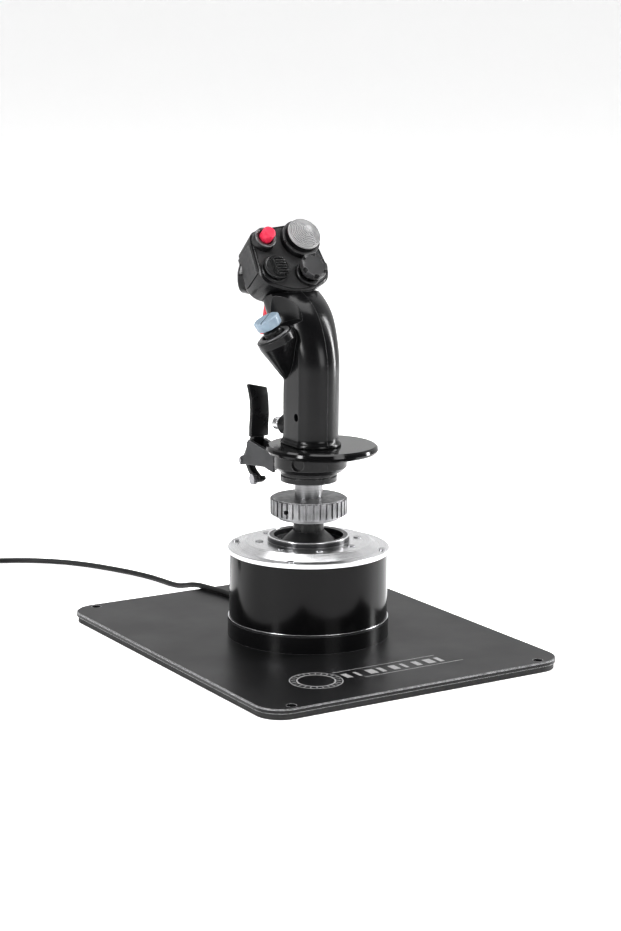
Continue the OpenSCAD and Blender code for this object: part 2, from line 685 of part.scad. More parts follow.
base_plate();
base_mat();
plate_screws();
base_flange();
base_housing();
top_cover();
cover_screws();
neck_ring();
gimbal_pillars();
centering_plate();
centering_springs();
sensor_board();
cable_gland();
cord_run();
cord_coil();
cord_tail();
cord_tie();
usb_plug();
gimbal_ring();
pitch_pins();
stick_shaft();
roll_pins();
gimbal_bell();
sensor_magnet();
shaft_collar();
grip_ring();
grip_adapter();
hand_rest();
paddle_bracket();
paddle_pin();
grip_left();
grip_right();
grip_screws();
face_plate();
trim_housing();
castle_housing();
ribbed_housing();
thumb_housing();
release_bezel();
master_bezel();
front_collar();
trigger_pin();
grip_board();
ring_nut();
trigger();
release_button();
trim_cross();
trim_hat();
castle_cross();
castle_hat();
ribbed_cross();
ribbed_hat();
thumb_cross();
thumb_stem();
thumb_hat();
master_button();
front_button();
paddle_lever();
paddle_screw();
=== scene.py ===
"""Looks of the flight joystick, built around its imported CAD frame."""
import json
from math import copysign, cos, pi, radians, sin, sqrt

import bmesh
import bpy
from mathutils import Matrix, Vector


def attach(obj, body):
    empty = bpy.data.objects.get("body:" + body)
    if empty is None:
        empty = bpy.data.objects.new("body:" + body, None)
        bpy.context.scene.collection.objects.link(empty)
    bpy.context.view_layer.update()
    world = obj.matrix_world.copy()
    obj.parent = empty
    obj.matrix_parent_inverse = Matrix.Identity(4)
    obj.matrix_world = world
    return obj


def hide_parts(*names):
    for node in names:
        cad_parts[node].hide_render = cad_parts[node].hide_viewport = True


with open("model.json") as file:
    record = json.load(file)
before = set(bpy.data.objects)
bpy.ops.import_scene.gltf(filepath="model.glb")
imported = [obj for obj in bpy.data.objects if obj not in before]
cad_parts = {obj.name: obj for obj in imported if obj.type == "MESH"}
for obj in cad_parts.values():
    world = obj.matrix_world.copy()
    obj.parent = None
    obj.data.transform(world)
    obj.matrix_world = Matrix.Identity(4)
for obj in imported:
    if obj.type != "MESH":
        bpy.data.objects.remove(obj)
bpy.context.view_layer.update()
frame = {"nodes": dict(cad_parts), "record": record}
NODES = frame["nodes"]
SCENE = bpy.context.scene
MM = 0.001

# Places and leans of the parts that aren't square to the row frame, as in the CAD source (mm, degrees)
FACE_AT, FACE_LEAN = (0, 23.8, 256.2), (52, 0, 0)
THUMB_AT, THUMB_LEAN = (-28, -1.5, 211.5), (-6.5, -27, 0)
FRONT_AT, FRONT_LEAN = (-4, 19, 147), (-90, 0, 20)
MASTER_AT, MASTER_LEAN = (-15, 45.5, 245), (-84, 0, 38)
# The master button's looks stand this far from its CAD place, along its own axes
MASTER_SHIFT = (3.6, 0, 2.2)
TRIM_AT, CASTLE_AT, RIBBED_AT, RELEASE_AT = (11.2, 14.8), (8.2, -11.4), (-15.2, -6.2), (-16.6, 15.8)
TRIGGER_AT = (0, 42.5, 234.5)
PADDLE_PIN = (-12, 58, 117.4)


def mm(*values):
    """A point given in millimetres, in metres."""
    return Vector(v * MM for v in values)


def placed(at, lean=(0, 0, 0)):
    """The frame of a leaning part: turned about X, then Y, then Z, and moved to its place."""
    turn = Matrix.Identity(4)
    for angle, axis in zip(lean, "XYZ"):
        turn = Matrix.Rotation(radians(angle), 4, axis) @ turn
    return Matrix.Translation(mm(*at)) @ turn


FACE = placed(FACE_AT, FACE_LEAN)
THUMB = placed(THUMB_AT, THUMB_LEAN)
FRONT = placed(FRONT_AT, FRONT_LEAN)
MASTER = placed(MASTER_AT, MASTER_LEAN) @ Matrix.Translation(mm(*MASTER_SHIFT))
WORLD = Matrix.Identity(4)


def on_face(spot):
    """The frame of a control that stands on the face."""
    return FACE @ Matrix.Translation(mm(spot[0], spot[1], 0))


# ---------- camera ----------

CAMERA_AT = (-750.3, -1206.0, 410.4)
CAMERA_AZIMUTH, CAMERA_PITCH, CAMERA_ROLL = -31.93, 11.477, 0.365
CAMERA_LENS = 84.15


def make_camera():
    """The photo's camera: its place, its view direction and its small roll."""
    azimuth, pitch, roll = (radians(a) for a in (CAMERA_AZIMUTH, CAMERA_PITCH, CAMERA_ROLL))
    back = Vector((sin(azimuth) * cos(pitch), -cos(azimuth) * cos(pitch),
                   sin(pitch)))
    level = Vector((cos(azimuth), sin(azimuth), 0))
    right = cos(roll) * level + sin(roll) * back.cross(level)
    turn = Matrix((right, back.cross(right), back)).transposed().to_4x4()
    place = Matrix.Translation(mm(*CAMERA_AT)) @ turn
    camera = add_object("camera", bpy.data.cameras.new("camera"), place)
    camera.data.sensor_width = 36
    camera.data.lens = CAMERA_LENS
    camera.data.clip_start, camera.data.clip_end = 0.05, 50
    SCENE.camera = camera


# ---------- mesh helpers ----------

def add_object(name, mesh, matrix=WORLD):
    piece = bpy.data.objects.new(name, mesh)
    SCENE.collection.objects.link(piece)
    piece.matrix_world = matrix
    return piece


def to_mesh(name, bm):
    mesh = bpy.data.meshes.new(name)
    bm.to_mesh(mesh)
    bm.free()
    return mesh


def finished(name, bm, matrix=WORLD, smooth_angle=32):
    """Turns a bmesh built in millimetres into an object in metres, smooth except at sharp edges."""
    bmesh.ops.scale(bm, vec=(MM, MM, MM), verts=bm.verts)
    bmesh.ops.recalc_face_normals(bm, faces=bm.faces)
    mesh = to_mesh(name, bm)
    mesh.shade_smooth()
    mesh.set_sharp_from_angle(angle=radians(smooth_angle))
    return add_object(name, mesh, matrix)


def turns(count):
    """Angles spread evenly round a full turn."""
    return [2 * pi * k / count for k in range(count)]


def bridge(bm, rings, cap=True):
    """Quads between rings of equal count; rings are lists of points."""
    rows = [[bm.verts.new(p) for p in ring] for ring in rings]
    for a, b in zip(rows, rows[1:]):
        n = len(a)
        for k in range(n):
            bm.faces.new((a[k], a[(k + 1) % n], b[(k + 1) % n], b[k]))
    if cap:
        bm.faces.new(rows[0][::-1])
        bm.faces.new(rows[-1])
    return rows


def fillet(points, radius, steps=4, closed=False):
    """Rounds the corners of an outline. A point may carry its own radius as a last value."""
    result = []
    n = len(points)
    for k, point in enumerate(points):
        own = point[2] if len(point) == 3 else radius
        here = Vector(point[:2])
        if not closed and k in (0, n - 1):
            result.append(here)
            continue
        before, after = Vector(points[k - 1][:2]), Vector(points[(k + 1) % n][:2])
        reach = min(own, (before - here).length * 0.48, (after - here).length * 0.48)
        if reach < 1e-4:
            result.append(here)
            continue
        a = here + (before - here).normalized() * reach
        b = here + (after - here).normalized() * reach
        for i in range(steps + 1):
            t = i / steps
            result.append((1 - t) ** 2 * a + 2 * t * (1 - t) * here + t * t * b)
    return result


def lathe(name, profile, matrix=WORLD, sides=96, radius=0.3, angle=32):
    """Turns a profile of (radius, height) points round the local Z axis. Ends on the axis close it."""
    outline = fillet(profile, radius)
    bm = bmesh.new()
    rings = []
    for r, z in outline:
        if r < 1e-4:
            rings.append([bm.verts.new((0, 0, z))])
        else:
            rings.append([bm.verts.new((r * cos(a), r * sin(a), z)) for a in turns(sides)])
    closed = len(rings[0]) > 1 and len(rings[-1]) > 1
    pairs = list(zip(rings, rings[1:])) + ([(rings[-1], rings[0])] if closed else [])
    for a, b in pairs:
        for k in range(sides):
            j = (k + 1) % sides
            if len(a) == 1 and len(b) == 1:
                continue
            if len(a) == 1:
                bm.faces.new((a[0], b[k], b[j]))
            elif len(b) == 1:
                bm.faces.new((a[k], a[j], b[0]))
            else:
                bm.faces.new((a[k], a[j], b[j], b[k]))
    return finished(name, bm, matrix, angle)


def band(name, r0, r1, z0, z1, matrix=WORLD, radius=0.12):
    """A plain ring with softened edges."""
    return lathe(name, [(r0, z0), (r1, z0), (r1, z1), (r0, z1), (r0, z0)], matrix, radius=radius)


def slab(name, outline, z0, z1, matrix=WORLD, edge=0.3, steps=2, angle=32):
    """A flat outline drawn up from z0 to z1, with its edges rounded."""
    bm = bmesh.new()
    bridge(bm, [[(x, y, z) for x, y in outline] for z in (z0, z1)])
    bmesh.ops.recalc_face_normals(bm, faces=bm.faces)
    if edge:
        sharp = [e for e in bm.edges if len(e.link_faces) == 2 and e.calc_face_angle(0) > radians(35)]
        bmesh.ops.bevel(bm, geom=sharp, offset=edge, segments=steps, profile=0.5, affect="EDGES",
                        clamp_overlap=True)
    return finished(name, bm, matrix, angle)


def joined(name, pieces):
    """One object from several, keeping their places in the row frame."""
    bm = bmesh.new()
    for piece in pieces:
        mesh = piece.data
        mesh.transform(piece.matrix_world)
        bm.from_mesh(mesh)
        bpy.data.objects.remove(piece)
    mesh = to_mesh(name, bm)
    mesh.set_sharp_from_angle(angle=radians(32))
    return add_object(name, mesh)


def boolean(piece, cutter, operation="DIFFERENCE"):
    """Cuts piece with cutter, or adds it, and removes the cutter."""
    change = piece.modifiers.new("cut", "BOOLEAN")
    change.operation, change.object, change.solver = operation, cutter, "MANIFOLD"
    bpy.context.view_layer.update()
    made = bpy.data.meshes.new_from_object(piece.evaluated_get(bpy.context.evaluated_depsgraph_get()))
    piece.modifiers.clear()
    piece.data = made
    bpy.data.objects.remove(cutter)
    return piece


def resharpen(piece, angle=30):
    """Marks the sharp edges of a piece again after it was cut."""
    piece.data.set_sharp_from_angle(angle=radians(angle))


def circle(r, sides=48, x=0.0, y=0.0):
    return [(x + r * cos(a), y + r * sin(a)) for a in turns(sides)]


def rectangle(x0, x1, y0, y1):
    return [(x0, y0), (x1, y0), (x1, y1), (x0, y1)]


def cylinder(name, r, z0, z1, matrix=WORLD, sides=64):
    return slab(name, circle(r, sides), z0, z1, matrix, edge=0)


def smooth_line(points, steps):
    """A Catmull-Rom curve through the points."""
    points = [Vector(p) for p in points]
    line = []
    for k in range(len(points) - 1):
        p0, p1, p2, p3 = (points[max(0, min(len(points) - 1, k + d))] for d in (-1, 0, 1, 2))
        for i in range(steps):
            t = i / steps
            line.append(0.5 * (2 * p1 + (p2 - p0) * t + (2 * p0 - 5 * p1 + 4 * p2 - p3) * t * t
                               + (3 * p1 - p0 - 3 * p2 + p3) * t ** 3))
    line.append(points[-1])
    return line


def along_x(outline, x0, x1, **options):
    """An outline in y and z, drawn across x."""
    side = Matrix(((0, 0, 1, 0), (1, 0, 0, 0), (0, 1, 0, 0), (0, 0, 0, 1)))
    return slab(outline=outline, z0=x0, z1=x1, matrix=side, **options)


def rod(name, r, middle, x0, x1, sides=48, edge=0.0):
    """A cylinder along x, round a middle given in y and z."""
    return along_x(circle(r, sides, *middle), x0, x1, name=name, edge=edge)


# ---------- materials ----------

SMOOTHEST = 0.02
# The dot product of an edge's rounded and flat normals, from a fully lightened edge to an untouched one
EDGE_FULL, EDGE_NONE = 0.9, 0.995


class Shader:
    """A small builder for one procedural material."""

    def __init__(self, name, color, rough, metal=0.0, **sockets):
        self.name = name
        self.mat = bpy.data.materials.new(name)
        self.mat.use_nodes = True
        self.tree = self.mat.node_tree
        self.bsdf = self.tree.nodes["Principled BSDF"]
        self.bsdf.inputs["Base Color"].default_value = (*color, 1)
        self.bsdf.inputs["Roughness"].default_value = rough
        self.bsdf.inputs["Metallic"].default_value = metal
        for socket, value in sockets.items():
            self.bsdf.inputs[socket.replace("_", " ")].default_value = value
        self.color, self.rough = color, rough
        self.place = self.tree.nodes.new("ShaderNodeTexCoord").outputs["Object"]

    def node(self, kind, **values):
        made = self.tree.nodes.new(kind)
        for key, value in values.items():
            if hasattr(made, key):
                setattr(made, key, value)
            else:
                made.inputs[key.replace("_", " ")].default_value = value
        return made

    def link(self, a, b):
        self.tree.links.new(a, b)

    def noise(self, scale, detail=3.0, stretch=None):
        made = self.node("ShaderNodeTexNoise", Scale=scale, Detail=detail, Roughness=0.5)
        source = self.place
        if stretch:
            mapping = self.node("ShaderNodeMapping")
            mapping.inputs["Scale"].default_value = stretch
            self.link(source, mapping.inputs["Vector"])
            source = mapping.outputs["Vector"]
        self.link(source, made.inputs["Vector"])
        return made.outputs["Fac"]

    def rings(self, scale, axis_height=False, detail=2.0):
        """Noise that changes with the distance from the Z axis, or with the height, as turning marks do."""
        split = self.node("ShaderNodeSeparateXYZ")
        self.link(self.place, split.inputs[0])
        pack = self.node("ShaderNodeCombineXYZ")
        if axis_height:
            self.link(split.outputs["Z"], pack.inputs["X"])
        else:
            flat = self.node("ShaderNodeCombineXYZ")
            self.link(split.outputs["X"], flat.inputs["X"])
            self.link(split.outputs["Y"], flat.inputs["Y"])
            length = self.node("ShaderNodeVectorMath", operation="LENGTH")
            self.link(flat.outputs[0], length.inputs[0])
            self.link(length.outputs["Value"], pack.inputs["X"])
        made = self.node("ShaderNodeTexNoise", Scale=scale, Detail=detail)
        self.link(pack.outputs[0], made.inputs["Vector"])
        return made.outputs["Fac"]

    def ranged(self, fac, low, high, start=0.3, end=0.7):
        made = self.node("ShaderNodeMapRange", From_Min=start, From_Max=end, To_Min=low, To_Max=high)
        self.link(fac, made.inputs["Value"])
        return made.outputs["Result"]

    def vary_rough(self, fac, spread):
        low = max(SMOOTHEST, self.rough - spread)
        self.link(self.ranged(fac, low, self.rough + spread), self.bsdf.inputs["Roughness"])
        return self

    def blend(self, share, other):
        """Mixes another colour in over the colour so far."""
        mix = self.node("ShaderNodeMix", data_type="RGBA")
        self.link(share, mix.inputs["Factor"])
        current = self.bsdf.inputs["Base Color"]
        if current.is_linked:
            self.link(current.links[0].from_socket, mix.inputs[6])
        else:
            mix.inputs[6].default_value = (*self.color, 1)
        mix.inputs[7].default_value = (*other, 1)
        self.link(mix.outputs[2], current)
        return self

    def vary_color(self, fac, other, start=0.35, end=0.65):
        return self.blend(self.ranged(fac, 0, 1, start, end), other)

    def edge_wear_and_highlight(self, other, amount=0.5, width=0.0005):
        """Lighter colour along edges, broken up by noise: worn paint on some finishes, and on others a
        painted highlight along the edges.
        """
        rounded = self.node("ShaderNodeBevel", samples=4)
        rounded.inputs["Radius"].default_value = width
        flat = self.node("ShaderNodeNewGeometry")
        turn = self.node("ShaderNodeVectorMath", operation="DOT_PRODUCT")
        self.link(rounded.outputs[0], turn.inputs[0])
        self.link(flat.outputs["Normal"], turn.inputs[1])
        broken = self.noise(700, 4)
        both = self.node("ShaderNodeMath", operation="MULTIPLY")
        self.link(self.ranged(turn.outputs["Value"], amount, 0, EDGE_FULL, EDGE_NONE), both.inputs[0])
        self.link(self.ranged(broken, 0.35, 1.1), both.inputs[1])
        return self.blend(both.outputs[0], other)

    def bump(self, fac, strength, distance=0.0002, round_edges=0.0):
        made = self.node("ShaderNodeBump", Strength=strength, Distance=distance)
        self.link(fac, made.inputs["Height"])
        if round_edges:
            edge = self.node("ShaderNodeBevel", samples=4)
            edge.inputs["Radius"].default_value = round_edges
            self.link(edge.outputs[0], made.inputs["Normal"])
        self.link(made.outputs[0], self.bsdf.inputs["Normal"])
        return self


MATERIALS = {}


def keep(shader):
    """Puts a finished material in the table under its own name."""
    MATERIALS[shader.name] = shader.mat


# Finishes: name, colour, roughness, metal, specular level; then noise for the roughness (scale, detail,
# spread), noise for a second colour (scale, detail, colour), lighter edges (colour, amount, width), worn
# paint on some finishes and a painted highlight on others, and grain (scale, detail, strength, depth)
FINISHES = (
    ("mat_rubber", (0.012, 0.012, 0.012), 0.75, 0.0, 0.5,
     None, (240, 3, (0.02, 0.02, 0.02)), None, (1500, 5, 0.5, 0.00015)),
    ("housing_gloss", (0.0035, 0.0035, 0.0038), 0.12, 0.0, 0.2,
     (30, 5, 0.035), None, None, (1400, 2, 0.03, 0.00004)),
    ("flange_gloss", (0.006, 0.006, 0.0065), 0.2, 0.0, 0.22,
     (40, 5, 0.05), None, ((0.25, 0.25, 0.26), 0.6), (900, 3, 0.06, 0.00005)),
    ("nut_grey", (0.26, 0.26, 0.265), 0.42, 0.85, 0.5,
     (300, 4, 0.1), (120, 6, (0.15, 0.15, 0.155)), ((0.5, 0.5, 0.51), 0.8), (2600, 5, 0.35, 0.00006)),
    ("face_metal", (0.036, 0.036, 0.037), 0.5, 0.1, 0.35,
     (700, 4, 0.1), (1900, 6, (0.055, 0.055, 0.056)), None, (3000, 5, 0.4, 0.00007)),
    ("adapter_dark", (0.008, 0.008, 0.0085), 0.22, 0.0, 0.28,
     (60, 5, 0.06), None, ((0.2, 0.2, 0.2), 0.6), (1300, 3, 0.07, 0.00005)),
    ("rest_gloss", (0.005, 0.005, 0.0053), 0.12, 0.0, 0.32,
     (35, 5, 0.035), None, None, (900, 2, 0.04, 0.00005)),
    ("bracket_grey", (0.03, 0.03, 0.032), 0.36, 0.5, 0.3,
     (120, 5, 0.08), (40, 5, (0.035, 0.036, 0.038)), ((0.4, 0.4, 0.41), 0.7), (1900, 4, 0.15, 0.00005)),
    ("paddle_black", (0.005, 0.005, 0.0055), 0.3, 0.0, 0.25,
     (90, 5, 0.06), None, ((0.2, 0.2, 0.2), 0.7), (1600, 3, 0.07, 0.00005)),
    ("hat_grey", (0.36, 0.36, 0.362), 0.5, 0.1, 0.5,
     (400, 4, 0.07), (160, 5, (0.32, 0.32, 0.323)), None, (2400, 4, 0.15, 0.00005)),
    # The lighter edges of this black finish are a painted highlight along the edges of the hats, cups and
    # posts
    ("hat_black", (0.008, 0.008, 0.0085), 0.32, 0.0, 0.3,
     (300, 4, 0.08), None, ((0.14, 0.14, 0.14), 0.6, 0.0004), (2200, 4, 0.18, 0.00005)),
    ("hat_blue", (0.21, 0.27, 0.325), 0.42, 0.0, 0.5,
     (600, 4, 0.08), (140, 6, (0.165, 0.215, 0.265)), ((0.5, 0.56, 0.6), 0.6), (1900, 5, 0.3, 0.00006)),
    ("bezel_metal", (0.33, 0.335, 0.34), 0.3, 1.0, 0.5,
     (300, 5, 0.12), (200, 5, (0.2, 0.2, 0.21)), None, (1600, 4, 0.2, 0.00005)),
    ("button_red", (0.56, 0.03, 0.075), 0.45, 0.0, 0.4,
     (500, 4, 0.07), (240, 5, (0.47, 0.02, 0.055)), None, (2600, 4, 0.12, 0.00005)),
    ("trigger_red", (0.5, 0.008, 0.03), 0.3, 0.0, 0.5,
     (400, 4, 0.06), (140, 5, (0.38, 0.005, 0.022)), None, (1500, 4, 0.08, 0.00005)),
    ("button_silver", (0.5, 0.5, 0.51), 0.3, 1.0, 0.5,
     (500, 5, 0.1), None, None, (2200, 4, 0.1, 0.00004)),
    ("cord_black", (0.008, 0.008, 0.0085), 0.5, 0.0, 0.3,
     (120, 4, 0.08), (50, 4, (0.02, 0.02, 0.02)), None, (2200, 4, 0.2, 0.00006)),
    ("plug_black", (0.016, 0.016, 0.0165), 0.42, 0.0, 0.5,
     (300, 4, 0.08), None, None, (2600, 4, 0.3, 0.00006)),
    ("board_green", (0.01, 0.09, 0.035), 0.35, 0.0, 0.5,
     None, (700, 2, (0.015, 0.13, 0.05)), None, (900, 2, 0.2, 0.00006)),
    ("spring_steel", (0.5, 0.5, 0.5), 0.22, 1.0, 0.5,
     (900, 3, 0.08), None, None, (2600, 3, 0.1, 0.00004)),
    ("moulded_black", (0.014, 0.014, 0.0145), 0.4, 0.0, 0.5,
     (260, 4, 0.09), None, ((0.06, 0.06, 0.06), 0.5), (2200, 4, 0.2, 0.00006)),
    # The lighter edges of this grey finish are a painted highlight along the edges of the castle hat and the
    # head's side panel
    ("castle_grey", (0.03, 0.03, 0.031), 0.42, 0.0, 0.4,
     (300, 4, 0.08), None, ((0.2, 0.2, 0.2), 0.8), (2200, 4, 0.18, 0.00005)),
    # Painted shade for the foot of each step of the trim hat
    ("trim_step_shade", (0.05, 0.05, 0.051), 0.6, 0.0, 0.5,
     (400, 3, 0.1), None, None, (1500, 3, 0.1, 0.00004)),
    ("ring_grey", (0.13, 0.13, 0.132), 0.35, 0.7, 0.5,
     (300, 4, 0.1), None, None, (1700, 4, 0.2, 0.00005)),
    ("print_grey", (0.3, 0.3, 0.3), 0.55, 0.0, 0.5,
     None, (900, 4, (0.22, 0.22, 0.22)), None, (1800, 3, 0.1, 0.00003)),
)


def make_finish(name, color, rough, metal, specular, spread, tint, edges_worn_and_lit, grain):
    s = Shader(name, color, rough, metal, Specular_IOR_Level=specular)
    if spread:
        s.vary_rough(s.noise(*spread[:2]), spread[2])
    if tint:
        s.vary_color(s.noise(*tint[:2]), tint[2])
    if edges_worn_and_lit:
        s.edge_wear_and_highlight(*edges_worn_and_lit)
    keep(s.bump(s.noise(*grain[:2]), *grain[2:]))


def make_metals():
    """The finishes with turning or brushing marks, and the grip's with its rounded edges."""
    s = Shader("plate_steel", (0.006, 0.006, 0.0065), 0.36, 0.0, Specular_IOR_Level=0.3)
    s.vary_rough(s.noise(25, 3), 0.03).vary_color(s.noise(9, 3), (0.009, 0.009, 0.0095))
    # Painted highlight: the bright, broken line along the plate's edges
    s.edge_wear_and_highlight((0.62, 0.62, 0.63), 0.9, 0.0007)
    keep(s.bump(s.noise(900, 4, (1, 14, 1)), 0.04, 0.00004))
    s = Shader("cover_silver", (0.62, 0.62, 0.63), 0.27, 1.0)
    s.vary_rough(s.rings(2600), 0.09).vary_color(s.rings(900), (0.72, 0.72, 0.73))
    s.vary_color(s.noise(60, 5), (0.52, 0.52, 0.53), 0.45, 0.9)
    keep(s.bump(s.rings(5200, detail=3), 0.22, 0.00003))
    s = Shader("neck_grey", (0.03, 0.03, 0.032), 0.28, 0.3, Specular_IOR_Level=0.4)
    s.vary_rough(s.rings(2600), 0.08).edge_wear_and_highlight((0.5, 0.5, 0.5), 0.7)
    keep(s.bump(s.rings(4200), 0.2, 0.00004))
    s = Shader("machined_steel", (0.42, 0.42, 0.43), 0.3, 1.0)
    s.vary_rough(s.noise(220, 5, (1, 1, 12)), 0.12).vary_color(s.noise(80), (0.3, 0.3, 0.31))
    keep(s.bump(s.noise(1500, 3), 0.12, 0.00004))
    s = Shader("shaft_grey", (0.27, 0.27, 0.275), 0.36, 0.9)
    s.vary_color(s.rings(1800, True), (0.18, 0.18, 0.185)).vary_rough(s.noise(90, 6), 0.12)
    keep(s.bump(s.rings(5200, True), 0.25, 0.00004))
    s = Shader("grip_metal", (0.0045, 0.0045, 0.005), 0.22, 0.0, Specular_IOR_Level=0.26)
    s.vary_rough(s.noise(55, 6), 0.05).vary_color(s.noise(18, 4), (0.0065, 0.0065, 0.007))
    s.edge_wear_and_highlight((0.12, 0.12, 0.122), 0.6)
    keep(s.bump(s.noise(1700, 3), 0.05, 0.00005, 0.00045))
    # Bright metal for a painted highlight on the flange's top edge, and for the neck's bright lip
    s = Shader("bright_lip_and_highlight", (0.6, 0.6, 0.61), 0.18, 1.0)
    s.vary_rough(s.noise(400, 4), 0.06)
    keep(s.bump(s.rings(3000, True), 0.1, 0.00003))


for finish in FINISHES:
    make_finish(*finish)
make_metals()


def dress(piece, material, body=None, replaces=()):
    """Gives a piece its material, its body and, where it has them and the nodes it stands for."""
    piece.data.materials.clear()
    piece.data.materials.append(MATERIALS[material])
    if body:
        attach(piece, body)
    if replaces:
        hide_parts(*replaces)
    return piece


# The edges of the CAD nodes that show: the width of their rounding (mm)
CAD_EDGES = {
    "base_plate": 0.5, "base_mat": 0.8, "base_flange": 0.35, "base_housing": 0.3, "top_cover": 0.25,
    "neck_ring": 0.25, "grip_ring": 0.5, "grip_adapter": 0.5, "shaft_collar": 0.4, "paddle_bracket": 0.35,
    "gimbal_ring": 0.4, "gimbal_pillars": 0.5, "plate_screws": 0.3, "paddle_pin": 0.3, "stick_shaft": 0.3,
    "grip_screws": 0.3, "cable_gland": 0.3, "sensor_board": 0.15, "centering_plate": 0.3, "gimbal_bell": 0.25,
}
CAD_SHARP, CAD_ROUNDED = 30, 38


def dress_cad():
    """The carried-over CAD nodes: their slot's material and softly rounded edges."""
    for row in frame["record"]["subparts"]:
        node = NODES[row["node"]]
        if node.hide_render:
            continue
        node.data.materials.clear()
        node.data.materials.append(MATERIALS[row["material_slot"]])
        node.data.shade_smooth()
        resharpen(node, CAD_SHARP)
        if row["node"] in CAD_EDGES:
            edge = node.modifiers.new("edge", "BEVEL")
            edge.width, edge.segments = CAD_EDGES[row["node"]] * MM, 2
            edge.limit_method, edge.angle_limit = "ANGLE", radians(CAD_ROUNDED)
            edge.harden_normals = True


# ---------- cord ----------

CORD_D = 4
COIL_AT = (-132, 299)
RUN_ROUTE = [
    (0, 66, 13), (0, 75, 12.6), (0, 84, 11.4), (0, 93, 10), (0, 102, 9.2), (-0.5, 112, 9.1),
    (-2, 122, 9.1), (-4.5, 132, 9.1), (-6, 140, 8.9), (-7.5, 149, 7.6), (-8.5, 158, 5.2),
    (-9, 167, 3.2), (-9.5, 177, 2.2), (-10.5, 188, 2.05), (-12.5, 200, 2.05),
    (-15.5, 212, 2.05), (-19.5, 224, 2.05), (-24, 235, 2.05), (-29, 246, 2.05),
    (-34.5, 257, 2.05), (-41, 267.5, 2.05), (-48.5, 277.5, 2.05), (-57, 286.5, 2.05),
    (-66.5, 294.5, 2.05), (-76.5, 301, 2.05), (-87, 306.5, 2.05), (-98, 312, 2.15), (-110, 317.5, 2.4),
]
TAIL_ROUTE = [
    (-150.2, 291, 19.9), (-150.8, 282, 20.2), (-151.8, 273, 18.6), (-153.2, 264, 14.8), (-155, 255, 10),
    (-157, 246, 6.2), (-159.2, 237, 4.2), (-161.5, 228, 3.8),
]
# The coil: radius and way of each pass, turns in a pass, first angle, angle taken to change pass
COIL_PASSES = ((26, 1), (22, -1), (18, 1))
COIL_TURNS = 3.25
COIL_START = 67.4
SHIFT_ANGLE = 100
COIL_LOW, COIL_STEP = 2.8, 4
# The last points of the coil rise to leave over its top
RISE_POINTS, RISE_SPAN, RISE = 10, 14, 4.2
PLUG_AT, PLUG_LEAN = (-161.5, 228, 0), (0, 0, -14.5)
TIE_ANGLE, TIE_R, TIE_HALF = 70, 22, 4


def coil_points(step=10):
    """Three passes of turns, up, down and up, each a diameter inside the last."""
    points = []
    angle, z = COIL_START, COIL_LOW
    for number, (radius, way) in enumerate(COIL_PASSES):
        turn = COIL_TURNS * 360
        count = round(turn / step)
        for k in range(count):
            points.append((radius, angle + k * step, z + way * COIL_STEP * k * step / 360))
        angle += turn
        z += way * COIL_STEP * COIL_TURNS
        if number < len(COIL_PASSES) - 1:
            inner = COIL_PASSES[number + 1][0]
            shifts = round(SHIFT_ANGLE / step)
            for k in range(shifts):
                t = k / shifts
                ease = t * t * (3 - 2 * t)
                points.append((radius + (inner - radius) * ease, angle + k * step, z))
            angle += SHIFT_ANGLE
    rise_from = len(points) - RISE_POINTS
    result = []
    for k, (radius, turn, height) in enumerate(points):
        lift = max(0.0, (k - rise_from) / RISE_SPAN)
        height += RISE * lift * lift
        t = radians(turn)
        result.append((COIL_AT[0] + radius * cos(t), COIL_AT[1] + radius * sin(t), height))
    return result


def make_cord():
    """The cord as one tube: out of the gland, over the plate's edge, round the coil and on to the plug."""
    route = smooth_line(RUN_ROUTE + coil_points() + TAIL_ROUTE, 2)
    curve = bpy.data.curves.new("cord", "CURVE")
    curve.dimensions, curve.bevel_depth, curve.bevel_resolution = "3D", CORD_D / 2 * MM, 4
    curve.use_fill_caps = True
    line = curve.splines.new("POLY")
    line.points.add(len(route) - 1)
    for spot, point in zip(line.points, route):
        spot.co = (*(Vector(point) * MM), 1)
    line.use_smooth = True
    cord = add_object("cord", curve)
    dress(cord, "cord_black", "base", replaces=("cord_run", "cord_coil", "cord_tail"))
    plug = make_plug()
    tie = make_tie()


def make_plug():
    """A moulded USB plug lying flat, with its strain relief, grips and shell."""
    spot = placed(PLUG_AT, PLUG_LEAN)
    outline = [(-6, -30.6), (6, -30.6), (6, -4, 3), (3.4, 0, 2), (-3.4, 0, 2), (-6, -4, 3)]
    body = slab("usb_plug_body", fillet(outline, 1.2, closed=True), 0.25, 7.4, spot, edge=0.9, steps=3)
    grips = [slab(f"grip{k}", rectangle(-3.6, 3.6, -9 - 3 * k, -8 - 3 * k), 7.2, 7.56, spot, edge=0.15)
             for k in range(5)]
    body = joined("usb_plug_body", [body, *grips])
    dress(body, "plug_black", "base", replaces=("usb_plug",))
    shell = slab("shell", rectangle(-6, 6, -42.8, -30), 1.7, 6, spot, edge=0.5)
    mouth = slab("mouth", rectangle(-5.5, 5.5, -44, -33), 2.1, 5.6, spot, edge=0)
    shell = boolean(shell, mouth)
    for side in (-1, 1):
        hole = slab("hole", rectangle(side * 2.6 - 1, side * 2.6 + 1, -39, -37), 5, 7, spot, edge=0)
        shell = boolean(shell, hole)
    shell.name = "usb_plug_shell"
    resharpen(shell)
    dress(shell, "bezel_metal", "base")
    tongue = slab("usb_plug_tongue", rectangle(-5.4, 5.4, -42, -32), 2.2, 3.8, spot, edge=0.15)
    dress(tongue, "plug_black", "base")
    return body, shell, tongue


